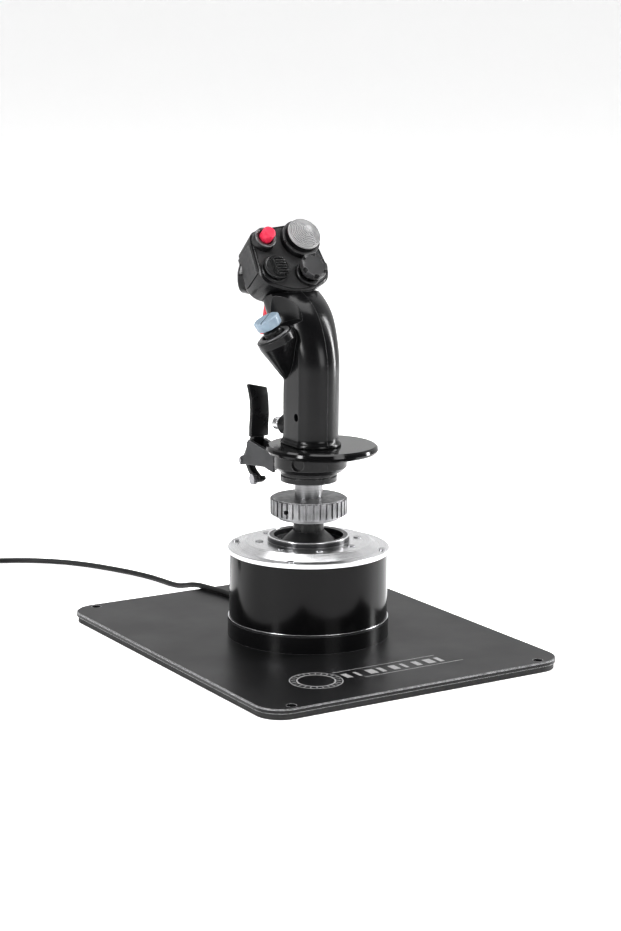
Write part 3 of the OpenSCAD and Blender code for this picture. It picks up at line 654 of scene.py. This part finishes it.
def make_tie():
    """A flat hook-and-loop band round the coil's section."""
    spot = placed((*COIL_AT, 0), (0, 0, TIE_ANGLE)) @ Matrix.Translation(mm(TIE_R, 0, 0))
    outer = fillet(rectangle(-6.8, 6.8, 0, 19), 1.2, closed=True)
    inner = fillet(rectangle(-6.1, 6.1, 0.75, 18.2), 0.8, closed=True)
    bm = bmesh.new()
    loops = ((outer, -TIE_HALF), (outer, TIE_HALF), (inner, TIE_HALF), (inner, -TIE_HALF))
    upright = [[(x, y, z) for x, z in ring] for ring, y in loops]
    rows = bridge(bm, upright, cap=False)
    for k in range(len(outer)):
        j = (k + 1) % len(outer)
        bm.faces.new((rows[3][k], rows[3][j], rows[0][j], rows[0][k]))
    tie = finished("cord_tie_band", bm, spot)
    return dress(tie, "moulded_black", "base", replaces=("cord_tie",))


# ---------- grip ----------

# Handle: back y, back z, front y, front z, half width
STATIONS = [
    (-24.3, 137.6, 21.8, 137.6, 16.9), (-24, 139.1, 21.5, 139.1, 16.6), (-22.7, 141.2, 19.9, 141.2, 15.6),
    (-22.5, 146, 19.7, 146, 15.5), (-22.8, 165, 19.7, 163, 15.5), (-23, 182, 19.7, 180, 15.5),
    (-22.4, 195, 20.5, 190, 15.7), (-18.5, 209, 24, 200, 16.5), (-12, 221.5, 30, 211, 17.7),
    (-4, 229.5, 34, 217, 18.5), (4.5, 234.5, 37, 224, 18.7), (12, 237.5, 39, 230, 18.5),
]
# The handle's back is an arc that meets the flat sides in a ridge
RIDGE_AT, RIDGE_ARC = 0.25, 66
FRONT_OUTLINE = [(0.25, 1), (0.48, 0.99), (0.72, 0.96), (0.84, 0.78), (0.93, 0.52), (1, 0)]
# Head outline at full size: half width and height, each with the radius of its corner
HEAD_OUTLINE = [
    (0, -23.7, 6), (11, -21.6, 6), (23, -16.3, 5), (27.0, -8, 4), (24.9, 18.5, 4), (22.4, 26.2, 5.5),
    (12, 28, 6),
]
HEAD_TOP, HEAD_LOW = 28, -23.7
# How much higher the head's top is on the right than in the middle
HEAD_SKEW = 0.1
# Head: distance from the face, share of the width, top, bottom
HEAD_STATIONS = [
    (0, 0.955, 26.9, -22.4), (-0.5, 0.978, 27.5, -23.1), (-1.4, 1, 28, -23.7), (-2.2, 1, 28, -23.7),
    (-23.4, 0.965, 26.4, -20.4), (-24.4, 0.95, 26, -19.9), (-27.5, 0.86, 24, -16), (-30, 0.74, 20, -11),
    (-33, 0.5, 15, -7),
]
# The face panel's outline: share of the width, top, bottom
INSET = (0.925, 26, -21.7)
GRIP_SHARP = 26
# Half the gap between the two castings, and a box that holds one of them: across, back, front, low, high
SEAM = 0.06
HALF_BOX = (60, -60, 90, 100, 320)
# The ball of room round the thumb hat: height of its middle, radius
SCOOP_H, SCOOP_R = 14, 25
# The thumb boss: rings at its mouth (radius, height), and the balls it runs down to (middle, radius)
BOSS_RINGS = ((12.8, -5), (12.8, -0.4), (12.3, 0))
BOSS_BALLS = (((-12, 5, 205), 9), ((-11, 7, 184), 5.5))
# The pad under the front button: radius, how far it reaches in
PAD_R, PAD_IN = 7.4, -6
# The grip's screws in y and z; the first has an access hole on the left
POSTS = ((-8.5, 157), (-6, 198), (10, 172))
ACCESS_R, SCREW_HOLE_R = 2.6, 3.2
# Round rooms cut for the controls: on the face (place, radius), then in the other frames (radius, low, high)
FACE_ROOMS = ((TRIM_AT, 8.3), (CASTLE_AT, 8.3), (RIBBED_AT, 8.3), (RELEASE_AT, 6.3))
ROOMS = (
    (THUMB, 9.8, -5.2, 1), (THUMB, 7.4, -8.4, -5), (FRONT, 5.6, -4.1, 1), (FRONT, 9, 0.02, 20),
    (MASTER, 10.6, -4.1, 2),
)
# Room for the rims that stand on the face: place, radius
RIM_ROOM = ((TRIM_AT, 14.0), (CASTLE_AT, 9.1), (RIBBED_AT, 9.9), (RELEASE_AT, 8.0))
# The trigger's slot in y and z, its half width and the round room at its axle
SLOT, SLOT_HALF, SLOT_KNUCKLE_R = (37, 60, 196, 236.5), 5.6, 5.2
# The raised panel on the head's left side: distance from the face, lift, trim of its ends; its two edges
PANEL_STEPS = ((-3.4, 0, 0.6), (-4, 0.55, 0), (-22, 0.55, 0), (-22.7, 0, 0.6))
PANEL_LOW, PANEL_HIGH = (-26.8, -6.4), (-25.2, 16.2)
# The head narrows by this share, from this depth, over this length
TAPER, TAPER_FROM, TAPER_OVER = 0.035, 2.2, 21.2
# Holes in the face panel: place, radius
PANEL_HOLES = ((TRIM_AT, 8), (CASTLE_AT, 8), (RIBBED_AT, 8), (RELEASE_AT, 6))


def head_ring(station, grow=0.0):
    """The head's outline at one depth."""
    h, share, top, bottom = station
    left = [(-x, y, r) for x, y, r in HEAD_OUTLINE[:0:-1]]
    rise = (top - bottom) / (HEAD_TOP - HEAD_LOW)
    ring = [(x * share, bottom + (y - HEAD_LOW) * rise + HEAD_SKEW * x * max(0, y) / HEAD_TOP)
            for x, y in fillet(HEAD_OUTLINE + left, 4, 6, closed=True)]
    return [(x + copysign(grow, x), y + copysign(grow, y), h) for x, y in ring]


def between(points, steps):
    """A Catmull-Rom curve through tuples of any length."""
    line = []
    last = len(points) - 1
    for k in range(last):
        p0, p1, p2, p3 = (points[max(0, min(last, k + d))] for d in (-1, 0, 1, 2))
        for i in range(steps):
            t = i / steps
            line.append(tuple(0.5 * (2 * b + (c - a) * t + (2 * a - 5 * b + 4 * c - d) * t * t
                                     + (3 * b - a - 3 * c + d) * t ** 3)
                              for a, b, c, d in zip(p0, p1, p2, p3)))
    return line + [tuple(points[-1])]


def station_ring(station):
    """The handle's outline at one station."""
    back_y, back_z, front_y, front_z, half = station
    arc = [radians(RIDGE_ARC * k / 16) for k in range(16)]
    flat, wide = 1 - cos(radians(RIDGE_ARC)), sin(radians(RIDGE_ARC))
    outline = [(RIDGE_AT * (1 - cos(a)) / flat, sin(a) / wide) for a in arc]
    outline += between(FRONT_OUTLINE, 5)
    right = [(w * half, back_y + d * (front_y - back_y), back_z + d * (front_z - back_z)) for d, w in outline]
    left = [(-x, y, z) for x, y, z in right[1:-1]][::-1]
    return right + left


def handle_solid():
    bm = bmesh.new()
    bridge(bm, [station_ring(s) for s in between(STATIONS, 6)])
    return finished("handle", bm, smooth_angle=20)


def head_solid():
    bm = bmesh.new()
    bridge(bm, [head_ring(s) for s in HEAD_STATIONS])
    return finished("head", bm, FACE, smooth_angle=20)


def ball_points(middle, radius, rows=24, sides=48):
    """Points spread over a ball, without its two poles."""
    points = []
    for a in (pi * i / rows for i in range(1, rows)):
        for t in turns(sides):
            way = Vector((sin(a) * cos(t), sin(a) * sin(t), cos(a)))
            points.append(mm(*middle) + radius * MM * way)
    return points


def thumb_boss():
    """The bulge that carries the thumb hat: a cup mouth blending down into the handle."""
    cloud = [THUMB @ mm(r * cos(t), r * sin(t), h) for r, h in BOSS_RINGS for t in turns(72)]
    for middle, radius in BOSS_BALLS:
        cloud += ball_points(middle, radius)
    bm = bmesh.new()
    for point in cloud:
        bm.verts.new(point)
    hull = bmesh.ops.convex_hull(bm, input=bm.verts)
    inside = {v for v in hull["geom_interior"] + hull["geom_unused"] if isinstance(v, bmesh.types.BMVert)}
    bmesh.ops.delete(bm, geom=list(inside), context="VERTS")
    bmesh.ops.recalc_face_normals(bm, faces=bm.faces)
    return add_object("boss", to_mesh("boss", bm))


def face_slab(name, z0, z1, grow):
    """A slab with the outline of the inset face panel."""
    bm = bmesh.new()
    bridge(bm, [head_ring((z, *INSET), grow=grow) for z in (z0, z1)])
    return finished(name, bm, FACE)


def scoop():
    """Room for a thumb round the hat: a ball that ends at the cup's mouth."""
    arc = [pi * k / 60 for k in range(61)]
    ball = [(SCOOP_R * sin(a), SCOOP_H - SCOOP_R * cos(a)) for a in arc]
    rim = sqrt(SCOOP_R ** 2 - SCOOP_H ** 2)
    side = [(r, h) for r, h in ball if h > 0.3 and r > 0.5]
    return lathe("scoop", [(0, 0), (rim, 0), *side, (0, SCOOP_H + SCOOP_R)], THUMB, sides=160, radius=0)


def grip_cutters():
    """Everything that is cut out of the grip, in the order of the cuts."""
    made = [face_slab("recess", -2.2, 3, 0.1)]
    made += [cylinder("room", r, -10.5, 1, on_face(spot)) for spot, r in FACE_ROOMS]
    made.append(scoop())
    made += [cylinder("room", r, low, high, spot) for spot, r, low, high in ROOMS]
    made.append(cylinder("room", 11.9, 1, 30, MASTER, sides=128))
    made.append(along_x(rectangle(*SLOT), -SLOT_HALF, SLOT_HALF, name="slot", edge=0))
    made.append(rod("slot", SLOT_KNUCKLE_R, TRIGGER_AT[1:], -SLOT_HALF, SLOT_HALF, 40))
    made += [cylinder("rim_room", r, -0.2, 6, on_face(spot)) for spot, r in RIM_ROOM]
    made.append(rod("access", ACCESS_R, POSTS[0], -30, -12.5, 40))
    made += [rod("screw_hole", SCREW_HOLE_R, post, 11, 30, 40) for post in POSTS[1:] + POSTS[:1]]
    return made


def make_grip():
    """The two castings: one solid with all its rooms, split down the middle."""
    across, back, front, low, high = HALF_BOX
    whole = handle_solid()
    for extra in (head_solid(), thumb_boss(), cylinder("pad", PAD_R, PAD_IN, 0, FRONT)):
        boolean(whole, extra, "UNION")
    for cut in grip_cutters():
        boolean(whole, cut)
    for side, name in ((-1, "grip_left_casting"), (1, "grip_right_casting")):
        half = whole.copy()
        half.data = whole.data.copy()
        SCENE.collection.objects.link(half)
        x0, x1 = sorted((side * SEAM, side * across))
        boolean(half, slab("half_box", rectangle(x0, x1, back, front), low, high, edge=0), "INTERSECT")
        half.name = name
        resharpen(half, GRIP_SHARP)
        dress(half, "grip_metal", "stick", replaces=("grip_left" if side < 0 else "grip_right",))
    bpy.data.objects.remove(whole)


def make_side_panel():
    """The slightly raised flat panel on the left side of the head."""
    rings = []
    for h, lift, trim in PANEL_STEPS:
        share = 1 - TAPER * (-h - TAPER_FROM) / TAPER_OVER
        low = (PANEL_LOW[0] * share, PANEL_LOW[1] + trim)
        high = (PANEL_HIGH[0] * share, PANEL_HIGH[1] - trim)
        rings.append([(low[0] - lift, low[1], h), (high[0] - lift, high[1], h), (high[0] + 1, high[1], h),
                      (low[0] + 1, low[1], h)])
    bm = bmesh.new()
    bridge(bm, rings)
    dress(finished("side_panel", bm, FACE), "castle_grey", "stick")


def make_face():
    """The inset face panel, with a hole for each control."""
    plate = face_slab("face_panel", -2.1, -0.1, 0)
    for spot, r in PANEL_HOLES:
        boolean(plate, cylinder("hole", r, -9, 9, on_face(spot)))
    plate.name = "face_panel"
    resharpen(plate, GRIP_SHARP)
    dress(plate, "face_metal", "stick", replaces=("face_plate",))


# ---------- hats and buttons ----------

# The steps of the trim hat: how many, how far each goes in and up
TRIM_STEPS, TRIM_IN, TRIM_UP = 9, 0.95, 0.62
CASTLE_NOTCHES, CASTLE_FIRST = 6, 20
# The ribs of the ribbed hat: how many, how far apart, half width, the radius they fill and where they end
RIBS, RIB_PITCH, RIB_HALF, RIB_R, RIB_END = 7, 2, 0.62, 8, 6.6


def make_trim():
    """The large stepped hat, with a dark band painted into the foot of each step as the shade there."""
    spot = on_face(TRIM_AT)
    profile = [(0, 7.8), (11.1, 7.8), (11.6, 8.3), (11.6, 9.7), (11.2, 10.2)]
    for k in range(TRIM_STEPS):
        r, h = 10.6 - TRIM_IN * k, 10.2 + TRIM_UP * k
        profile += [(r + 0.3, h - 0.25), (r, h), (r - 0.05, h + TRIM_UP)]
    profile += [(2.2, 15.7), (1.6, 17.0), (0, 17.0)]
    cap = lathe("trim_hat_cap", profile, spot, radius=0)
    stem = cylinder("stem", 3.3, -0.5, 8, spot)
    cap = joined("trim_hat_cap", [cap, stem])
    dress(cap, "hat_grey", "trim", replaces=("trim_hat",))
    # Painted shade: a dark band in the foot of each step
    foot = [(TRIM_IN * k, TRIM_UP * k) for k in range(TRIM_STEPS)]
    lines = [band("line", 10.75 - r, 11.05 - r, 9.6 + h, 10.05 + h, spot) for r, h in foot]
    dress(joined("trim_hat_step_shade", lines), "trim_step_shade", "trim")


def make_castle():
    """The hat with a crown of notches."""
    spot = on_face(CASTLE_AT)
    profile = [(0, 5.5), (7.4, 5.5), (9.3, 8.6), (9.3, 12.4), (8.6, 12.4), (7.6, 11.7), (0, 11.5)]
    body = lathe("castle", profile, spot, radius=0.35)
    for k in range(CASTLE_NOTCHES):
        angle = CASTLE_FIRST + 360 / CASTLE_NOTCHES * k
        turn = spot @ Matrix.Rotation(radians(angle), 4, "Z")
        notch = slab("notch", [(7.1, -1.5), (12, -2.5), (12, 2.5), (7.1, 1.5)], 9.6, 14, turn, edge=0)
        boolean(body, notch)
    stem = cylinder("stem", 3.6, -0.5, 6, spot)
    resharpen(body)
    body = joined("castle_hat_cap", [body, stem])
    dress(body, "castle_grey", "castle", replaces=("castle_hat",))


def make_ribbed():
    """The flat hat with a row of ribs, a lip and a groove."""
    spot = on_face(RIBBED_AT)
    profile = [(0, 2.9), (8.5, 2.9), (8.9, 3.3), (8.9, 4.6), (8.3, 5.0), (7.7, 4.7), (0, 4.6)]
    disc = lathe("disc", profile, spot, radius=0.2)
    boolean(disc, slab("groove", rectangle(-4.4, -3.1, -5.4, 5.4), 4.1, 7, spot, edge=0))
    bars = []
    for k in range(RIBS):
        v = RIB_PITCH * (k - RIBS // 2)
        end = min(sqrt(RIB_R ** 2 - v * v), RIB_END)
        bars.append(slab("rib", rectangle(-0.8, end, v - RIB_HALF, v + RIB_HALF), 4.4, 6.1, spot, edge=0.35))
    lip = slab("lip", [(-1.9, -6.2), (-0.9, -6.4), (-0.9, 6.4), (-1.9, 6.2)], 4.4, 5.7, spot, edge=0.3)
    stem = cylinder("stem", 3.6, -0.5, 3, spot)
    resharpen(disc)
    whole = joined("ribbed_hat_cap", [disc, lip, stem, *bars])
    dress(whole, "hat_black", "ribbed", replaces=("ribbed_hat",))


def hat_cup(name, spot, rim_r, rim_h, mouth_r, material, node, ring=None):
    """The fixed cup of a hat, with its rim standing on the face."""
    profile = [
        (mouth_r, -9.4), (8, -9.4), (8, -0.1), (rim_r, -0.1), (rim_r, rim_h - 0.8), (rim_r - 0.7, rim_h),
        (rim_r - 1.9, rim_h), (rim_r - 2.4, rim_h - 0.7), (mouth_r + 0.6, rim_h - 0.7),
        (mouth_r, rim_h - 1.2),
    ]
    cup = lathe(name, profile, spot, radius=0.2)
    dress(cup, material, "stick", replaces=(node,))
    if ring:
        dress(band(name + "_ring", *ring, spot, radius=0.15), "ring_grey", "stick")


def make_cups():
    hat_cup("trim_pedestal", on_face(TRIM_AT), 13.6, 4.3, 6.4, "hat_black", "trim_housing",
            ring=(11.9, 13.6, 4.2, 4.6))
    hat_cup("castle_pedestal", on_face(CASTLE_AT), 8.9, 3.0, 6.2, "hat_black", "castle_housing")
    hat_cup("ribbed_pedestal", on_face(RIBBED_AT), 9.7, 1.2, 6.2, "hat_black", "ribbed_housing")


def make_release():
    """The red button on the face, its cup and the grey ring round it."""
    spot = on_face(RELEASE_AT)
    profile = [(5.1, -9.4), (6, -9.4), (6, -0.1), (7.8, -0.1), (7.8, 4.9), (7.2, 5.5), (5.1, 5.5)]
    cup = lathe("release_pedestal", profile, spot)
    dress(cup, "hat_black", "stick", replaces=("release_bezel",))
    profile = [(5.5, 5.4), (7.6, 5.4), (7.6, 6.0), (7.1, 6.4), (6.2, 6.4), (5.5, 5.8), (5.5, 5.4)]
    ring = lathe("release_ring", profile, spot, radius=0.15)
    dress(ring, "ring_grey", "stick")
    profile = [(0, -4.8), (4.5, -4.8), (4.5, 11.7), (4.2, 12.4), (3.5, 12.8), (0, 12.6)]
    cap = lathe("release_cap", profile, spot, radius=0.35)
    dress(cap, "button_red", "release", replaces=("release_button",))


def make_thumb():
    """The thumb hat on the left: its ring, its post and its eight-sided cap."""
    profile = [
        (7.9, -4.8), (9.5, -4.8), (9.5, 0), (10.8, 0), (10.8, 0.8), (10.3, 1.2), (8.3, 1.2), (7.9, 0.8),
    ]
    cup = lathe("thumb_cup", profile, THUMB, radius=0.2)
    dress(cup, "ring_grey", "stick", replaces=("thumb_housing",))
    profile = [
        (0, -6), (3.3, -6), (3.3, -2.2), (6.2, -2.2), (6.2, 1.2), (5.6, 1.4), (5.6, 2.0), (6.2, 2.2),
        (6.2, 3.8), (5.7, 4.4), (4.2, 4.4), (3.4, 5.4), (2.5, 5.8), (2.5, 9), (0, 9),
    ]
    stem = lathe("thumb_post", profile, THUMB, radius=0.2)
    dress(stem, "hat_black", "thumb_stem", replaces=("thumb_stem",))
    corners = [pi / 8 + pi * k / 4 for k in range(8)]
    outline = fillet([(9.2 * cos(t), 9.2 * sin(t)) for t in corners], 1.6, closed=True)
    bm = bmesh.new()
    heights = [(6.0, 0.80), (6.3, 0.90), (7.2, 0.96), (11.6, 1.0), (12.6, 0.985), (13.0, 0.93)]
    bridge(bm, [[(x * s, y * s, z) for x, y in outline] for z, s in heights])
    cap = finished("thumb_hat_cap", bm, THUMB, 30)
    turn = THUMB @ Matrix.Rotation(radians(35), 4, "Z")
    boolean(cap, slab("groove", rectangle(-12, 12, -0.55, 0.55), 12.1, 15, turn, edge=0))
    resharpen(cap)
    dress(cap, "hat_blue", "thumb", replaces=("thumb_hat",))


def make_master():
    """The domed button on the front left of the head, with its slot and its collar."""
    profile = [
        (8.7, -3.9), (10.5, -3.9), (10.5, 1), (13.4, 1), (13.4, 5.8), (12.8, 6.6), (12.1, 6.6), (11.6, 6.1),
        (11.6, 3.1), (8.7, 3.1),
    ]
    bezel = lathe("master_bezel_ring", profile, MASTER, radius=0.3)
    dress(bezel, "grip_metal", "stick", replaces=("master_bezel",))
    profile = [
        (0, -0.8), (8.6, -0.8), (8.6, 4.7), (11.2, 4.7), (11.2, 7.0), (10.4, 8.0), (8.6, 8.9), (5.4, 9.6),
        (2.4, 9.8), (0, 9.8),
    ]
    cap = lathe("master_dome", profile, MASTER, radius=0.6)
    boolean(cap, slab("slot", rectangle(-12, 12, -1, 1), 8.6, 12, MASTER, edge=0))
    resharpen(cap)
    dress(cap, "button_silver", "master", replaces=("master_button",))


def make_front():
    """The small silver button low on the front of the handle."""
    profile = [
        (3.5, -3.9), (5.5, -3.9), (5.5, 0.6), (6.6, 0.6), (6.6, 4.4), (6.1, 5.0), (4.9, 5.0), (4.5, 4.4),
        (3.5, 4.2),
    ]
    collar = lathe("front_guard", profile, FRONT, radius=0.25)
    dress(collar, "hat_black", "stick", replaces=("front_collar",))
    profile = [
        (0, -1.9), (3.2, -1.9), (3.2, 7.0), (4.25, 7.0), (4.25, 10.9), (3.7, 11.7), (2.6, 11.8), (0, 11.6),
    ]
    cap = lathe("front_cap", profile, FRONT, radius=0.3)
    dress(cap, "button_silver", "front", replaces=("front_button",))


# ---------- trigger and paddle ----------

PADDLE_TOP, PADDLE_TOP_LEAN = (-19, 30, 171.8), 13

def make_trigger():
    """The red trigger, drawn from its axle in y and z."""
    side = [
        (-3.4, -2.6), (3.8, -2), (8, -7), (9.5, -14), (11.5, -21), (15, -28.5), (14, -31), (9.5, -30.5),
        (6, -24), (3, -16), (0, -8),
    ]
    blade = [(TRIGGER_AT[1] + y, TRIGGER_AT[2] + z) for y, z in fillet(side, 3, closed=True)]
    body = along_x(blade, -5, 5, name="blade", edge=1.2, steps=3)
    boolean(body, rod("knuckle", 4.4, TRIGGER_AT[1:], -5, 5, edge=0.5), "UNION")
    body.name = "trigger_blade"
    resharpen(body, 35)
    dress(body, "trigger_red", "trigger", replaces=("trigger",))


def make_paddle():
    """The blade, the arm through the bracket and the strap that ends in a screw."""
    arm = [(59.6, 120.2), (51, 133.5), (47.6, 137.4), (44.4, 136), (46, 131), (54.8, 117)]
    arm = along_x(fillet(arm, 1.2, closed=True), -16.2, -7.8, name="arm", edge=0.5)
    blade = [
        (44.2, 135.5), (47.8, 135.5), (47.4, 143), (46.2, 152), (46.8, 161), (49.6, 168.5), (51, 171),
        (47.6, 172), (44.2, 163.6), (43, 152), (43.8, 143),
    ]
    blade = along_x(fillet(blade, 1.6, closed=True), -18.8, -5, name="blade", edge=0.6)
    lean = placed(PADDLE_TOP, (0, PADDLE_TOP_LEAN, 0))
    boolean(blade, slab("top", rectangle(-2, 22, 0, 40), 0, 12, lean, edge=0))
    strap = [
        (60.6, 115.6), (55, 108.8), (44, 103.5), (39, 107), (41, 109.4), (44.4, 107.4), (52.6, 111.4),
        (56.6, 118.4),
    ]
    strap = along_x(fillet(strap, 1.6, closed=True), -14.5, -9.5, name="strap", edge=0.5)
    hub = rod("hub", 3.2, PADDLE_PIN[1:], -16.2, -7.8, edge=0.3)
    for extra in (blade, strap, hub):
        boolean(arm, extra, "UNION")
    boolean(arm, rod("bore", 1.65, PADDLE_PIN[1:], -20, 0, 32))
    arm.name = "paddle_blade"
    resharpen(arm)
    dress(arm, "paddle_black", "paddle", replaces=("paddle_lever",))


# ---------- details of the base ----------

PLATE_TOP, FLANGE_TOP, NECK_TOP = 7, 19.5, 75
HOUSING_R = 53.2
# The printed marks: places of the ring and the lines, their scale, and how far they go in and stand out
PRINT_RING_AT, PRINT_LINES_AT, PRINT_SIZE = (-54, -97, 0), (12, -97, 0), 1.35
PRINT_IN, PRINT_OVER = 0.05, 0.06
PRINT_RINGS, PRINT_TICKS = ((8.6, 9.4), (12.2, 12.7)), 24
PRINT_RULES = ((6, -36, 22), (-7, -26, 30))
PRINT_BARS, BAR_PITCH, BAR_WIDTH = (5, 3, 7, 4, 6, 3, 5, 7, 4), 6.6, 0.62


def make_base_trim():
    """A bright metal band painted in as the highlight on the flange's top edge where the housing meets it,
    and the bright lip of the neck.
    """
    lower = band("flange_edge_highlight", HOUSING_R, HOUSING_R + 0.85, FLANGE_TOP - 0.2, FLANGE_TOP + 0.5)
    upper = band("neck_lip", 26.2, 27.5, NECK_TOP - 0.3, NECK_TOP + 0.25)
    for lip in (lower, upper):
        dress(lip, "bright_lip_and_highlight", "base")


def make_print():
    """Generic printed marks on the plate: a ring with ticks, and two rules between short bars."""
    marks = []
    grow = Matrix.Diagonal((PRINT_SIZE, PRINT_SIZE, 1, 1))
    ring_place, line_place = placed(PRINT_RING_AT) @ grow, placed(PRINT_LINES_AT) @ grow
    low, high = PLATE_TOP - PRINT_IN, PLATE_TOP + PRINT_OVER
    for r0, r1 in PRINT_RINGS:
        marks.append(band("mark", r0, r1, low, high, ring_place))
    for k in range(PRINT_TICKS):
        turn = ring_place @ Matrix.Rotation(radians(360 / PRINT_TICKS * k), 4, "Z")
        marks.append(slab("tick", rectangle(9.8, 11.8, -0.3, 0.3), low, high, turn, edge=0))
    for y, x0, x1 in PRINT_RULES:
        marks.append(slab("rule", rectangle(x0, x1, y, y + 0.5), low, high, line_place, edge=0))
    for k, wide in enumerate(PRINT_BARS):
        x = -34 + BAR_PITCH * k
        marks.append(slab("bar", rectangle(x, x + BAR_WIDTH * wide, -4, 2.6), low, high, line_place, edge=0))
    dress(joined("plate_marks", marks), "print_grey", "base")


# ---------- stage ----------

# The white sheet (m): half its width, its near end, where it starts to curve up, the radius and the top
SHEET_HALF, SHEET_NEAR, SHEET_BEND, SHEET_R, SHEET_TOP, SHEET_DROP = 11, -4, 5, 2, 9, -0.0002
# The room's light: the side it comes from, the range of that direction and the strengths at its two ends
ROOM_SIDE = (0.5, 0.8, 0.33)
ROOM_FADE = {"From Min": -0.3, "From Max": 0.9, "To Min": 0.05, "To Max": 0.62}
LIGHT_TARGET = (0, 0, 0.14)
# Soft boxes (m, W): name, place, width, height, power
SOFT_BOXES = (
    ("key_left", (-1.5, -0.3, 1.0), 0.3, 1.4, 34), ("rim_right", (1.3, -0.35, 0.6), 0.22, 1.3, 30),
    ("top", (0.1, 0.3, 1.7), 1.3, 1.3, 24), ("front_low", (0.1, -1.6, 0.5), 0.6, 0.6, 8),
)
VIEW_GAMMA = 0.85


def make_stage():
    """One white sheet: floor, a wide curve and a wall far behind the object."""
    quarter = [pi / 2 * k / 16 for k in range(17)]
    bend = [(SHEET_BEND + SHEET_R * sin(a), SHEET_R - SHEET_R * cos(a)) for a in quarter]
    curve = [(SHEET_NEAR, 0), *bend, (SHEET_BEND + SHEET_R, SHEET_TOP)]
    bm = bmesh.new()
    rows = [[bm.verts.new((x, y, z)) for x in (-SHEET_HALF, SHEET_HALF)] for y, z in curve]
    for low, high in zip(rows, rows[1:]):
        bm.faces.new((low[0], low[1], high[1], high[0]))
    mesh = to_mesh("floor", bm)
    mesh.shade_smooth()
    turn = Matrix.Rotation(radians(CAMERA_AZIMUTH), 4, "Z")
    floor = add_object("floor", mesh, turn @ Matrix.Translation((0, 0, SHEET_DROP)))
    s = Shader("floor_white", (0.9, 0.9, 0.9), 0.6, 0.0, Specular_IOR_Level=0.1,
               Emission_Color=(1, 1, 1, 1), Emission_Strength=0.6)
    s.vary_rough(s.noise(3), 0.05)
    floor.data.materials.append(s.mat)


def area_light(name, at, width, height, power):
    """A soft box that looks at the middle of the object."""
    light = bpy.data.lights.new(name, "AREA")
    light.shape = "RECTANGLE"
    light.size, light.size_y = width, height
    light.energy = power
    lamp = add_object(name, light)
    lamp.location = at
    lamp.rotation_mode = "QUATERNION"
    lamp.rotation_quaternion = (Vector(at) - Vector(LIGHT_TARGET)).to_track_quat("Z", "Y")


def make_light():
    """A room that is bright to one side and dark to the other, with tall soft boxes for the highlights."""
    world = bpy.data.worlds.new("studio")
    SCENE.world = world
    world.use_nodes = True
    nodes, links = world.node_tree.nodes, world.node_tree.links
    place = nodes.new("ShaderNodeTexCoord")
    lean = nodes.new("ShaderNodeVectorMath")
    lean.operation = "DOT_PRODUCT"
    lean.inputs[1].default_value = ROOM_SIDE
    links.new(place.outputs["Generated"], lean.inputs[0])
    fade = nodes.new("ShaderNodeMapRange")
    for socket, value in ROOM_FADE.items():
        fade.inputs[socket].default_value = value
    links.new(lean.outputs["Value"], fade.inputs["Value"])
    links.new(fade.outputs["Result"], nodes["Background"].inputs["Strength"])
    nodes["Background"].inputs["Color"].default_value = (1, 1, 1, 1)
    for box in SOFT_BOXES:
        area_light(*box)
    SCENE.view_settings.view_transform = "Standard"
    SCENE.view_settings.gamma = VIEW_GAMMA


make_camera()
make_cord()
make_stage()
make_light()
make_grip()
make_face()
make_side_panel()
make_cups()
make_trim()
make_castle()
make_ribbed()
make_release()
make_thumb()
make_master()
make_front()
make_trigger()
make_paddle()
make_base_trim()
make_print()
dress_cad()
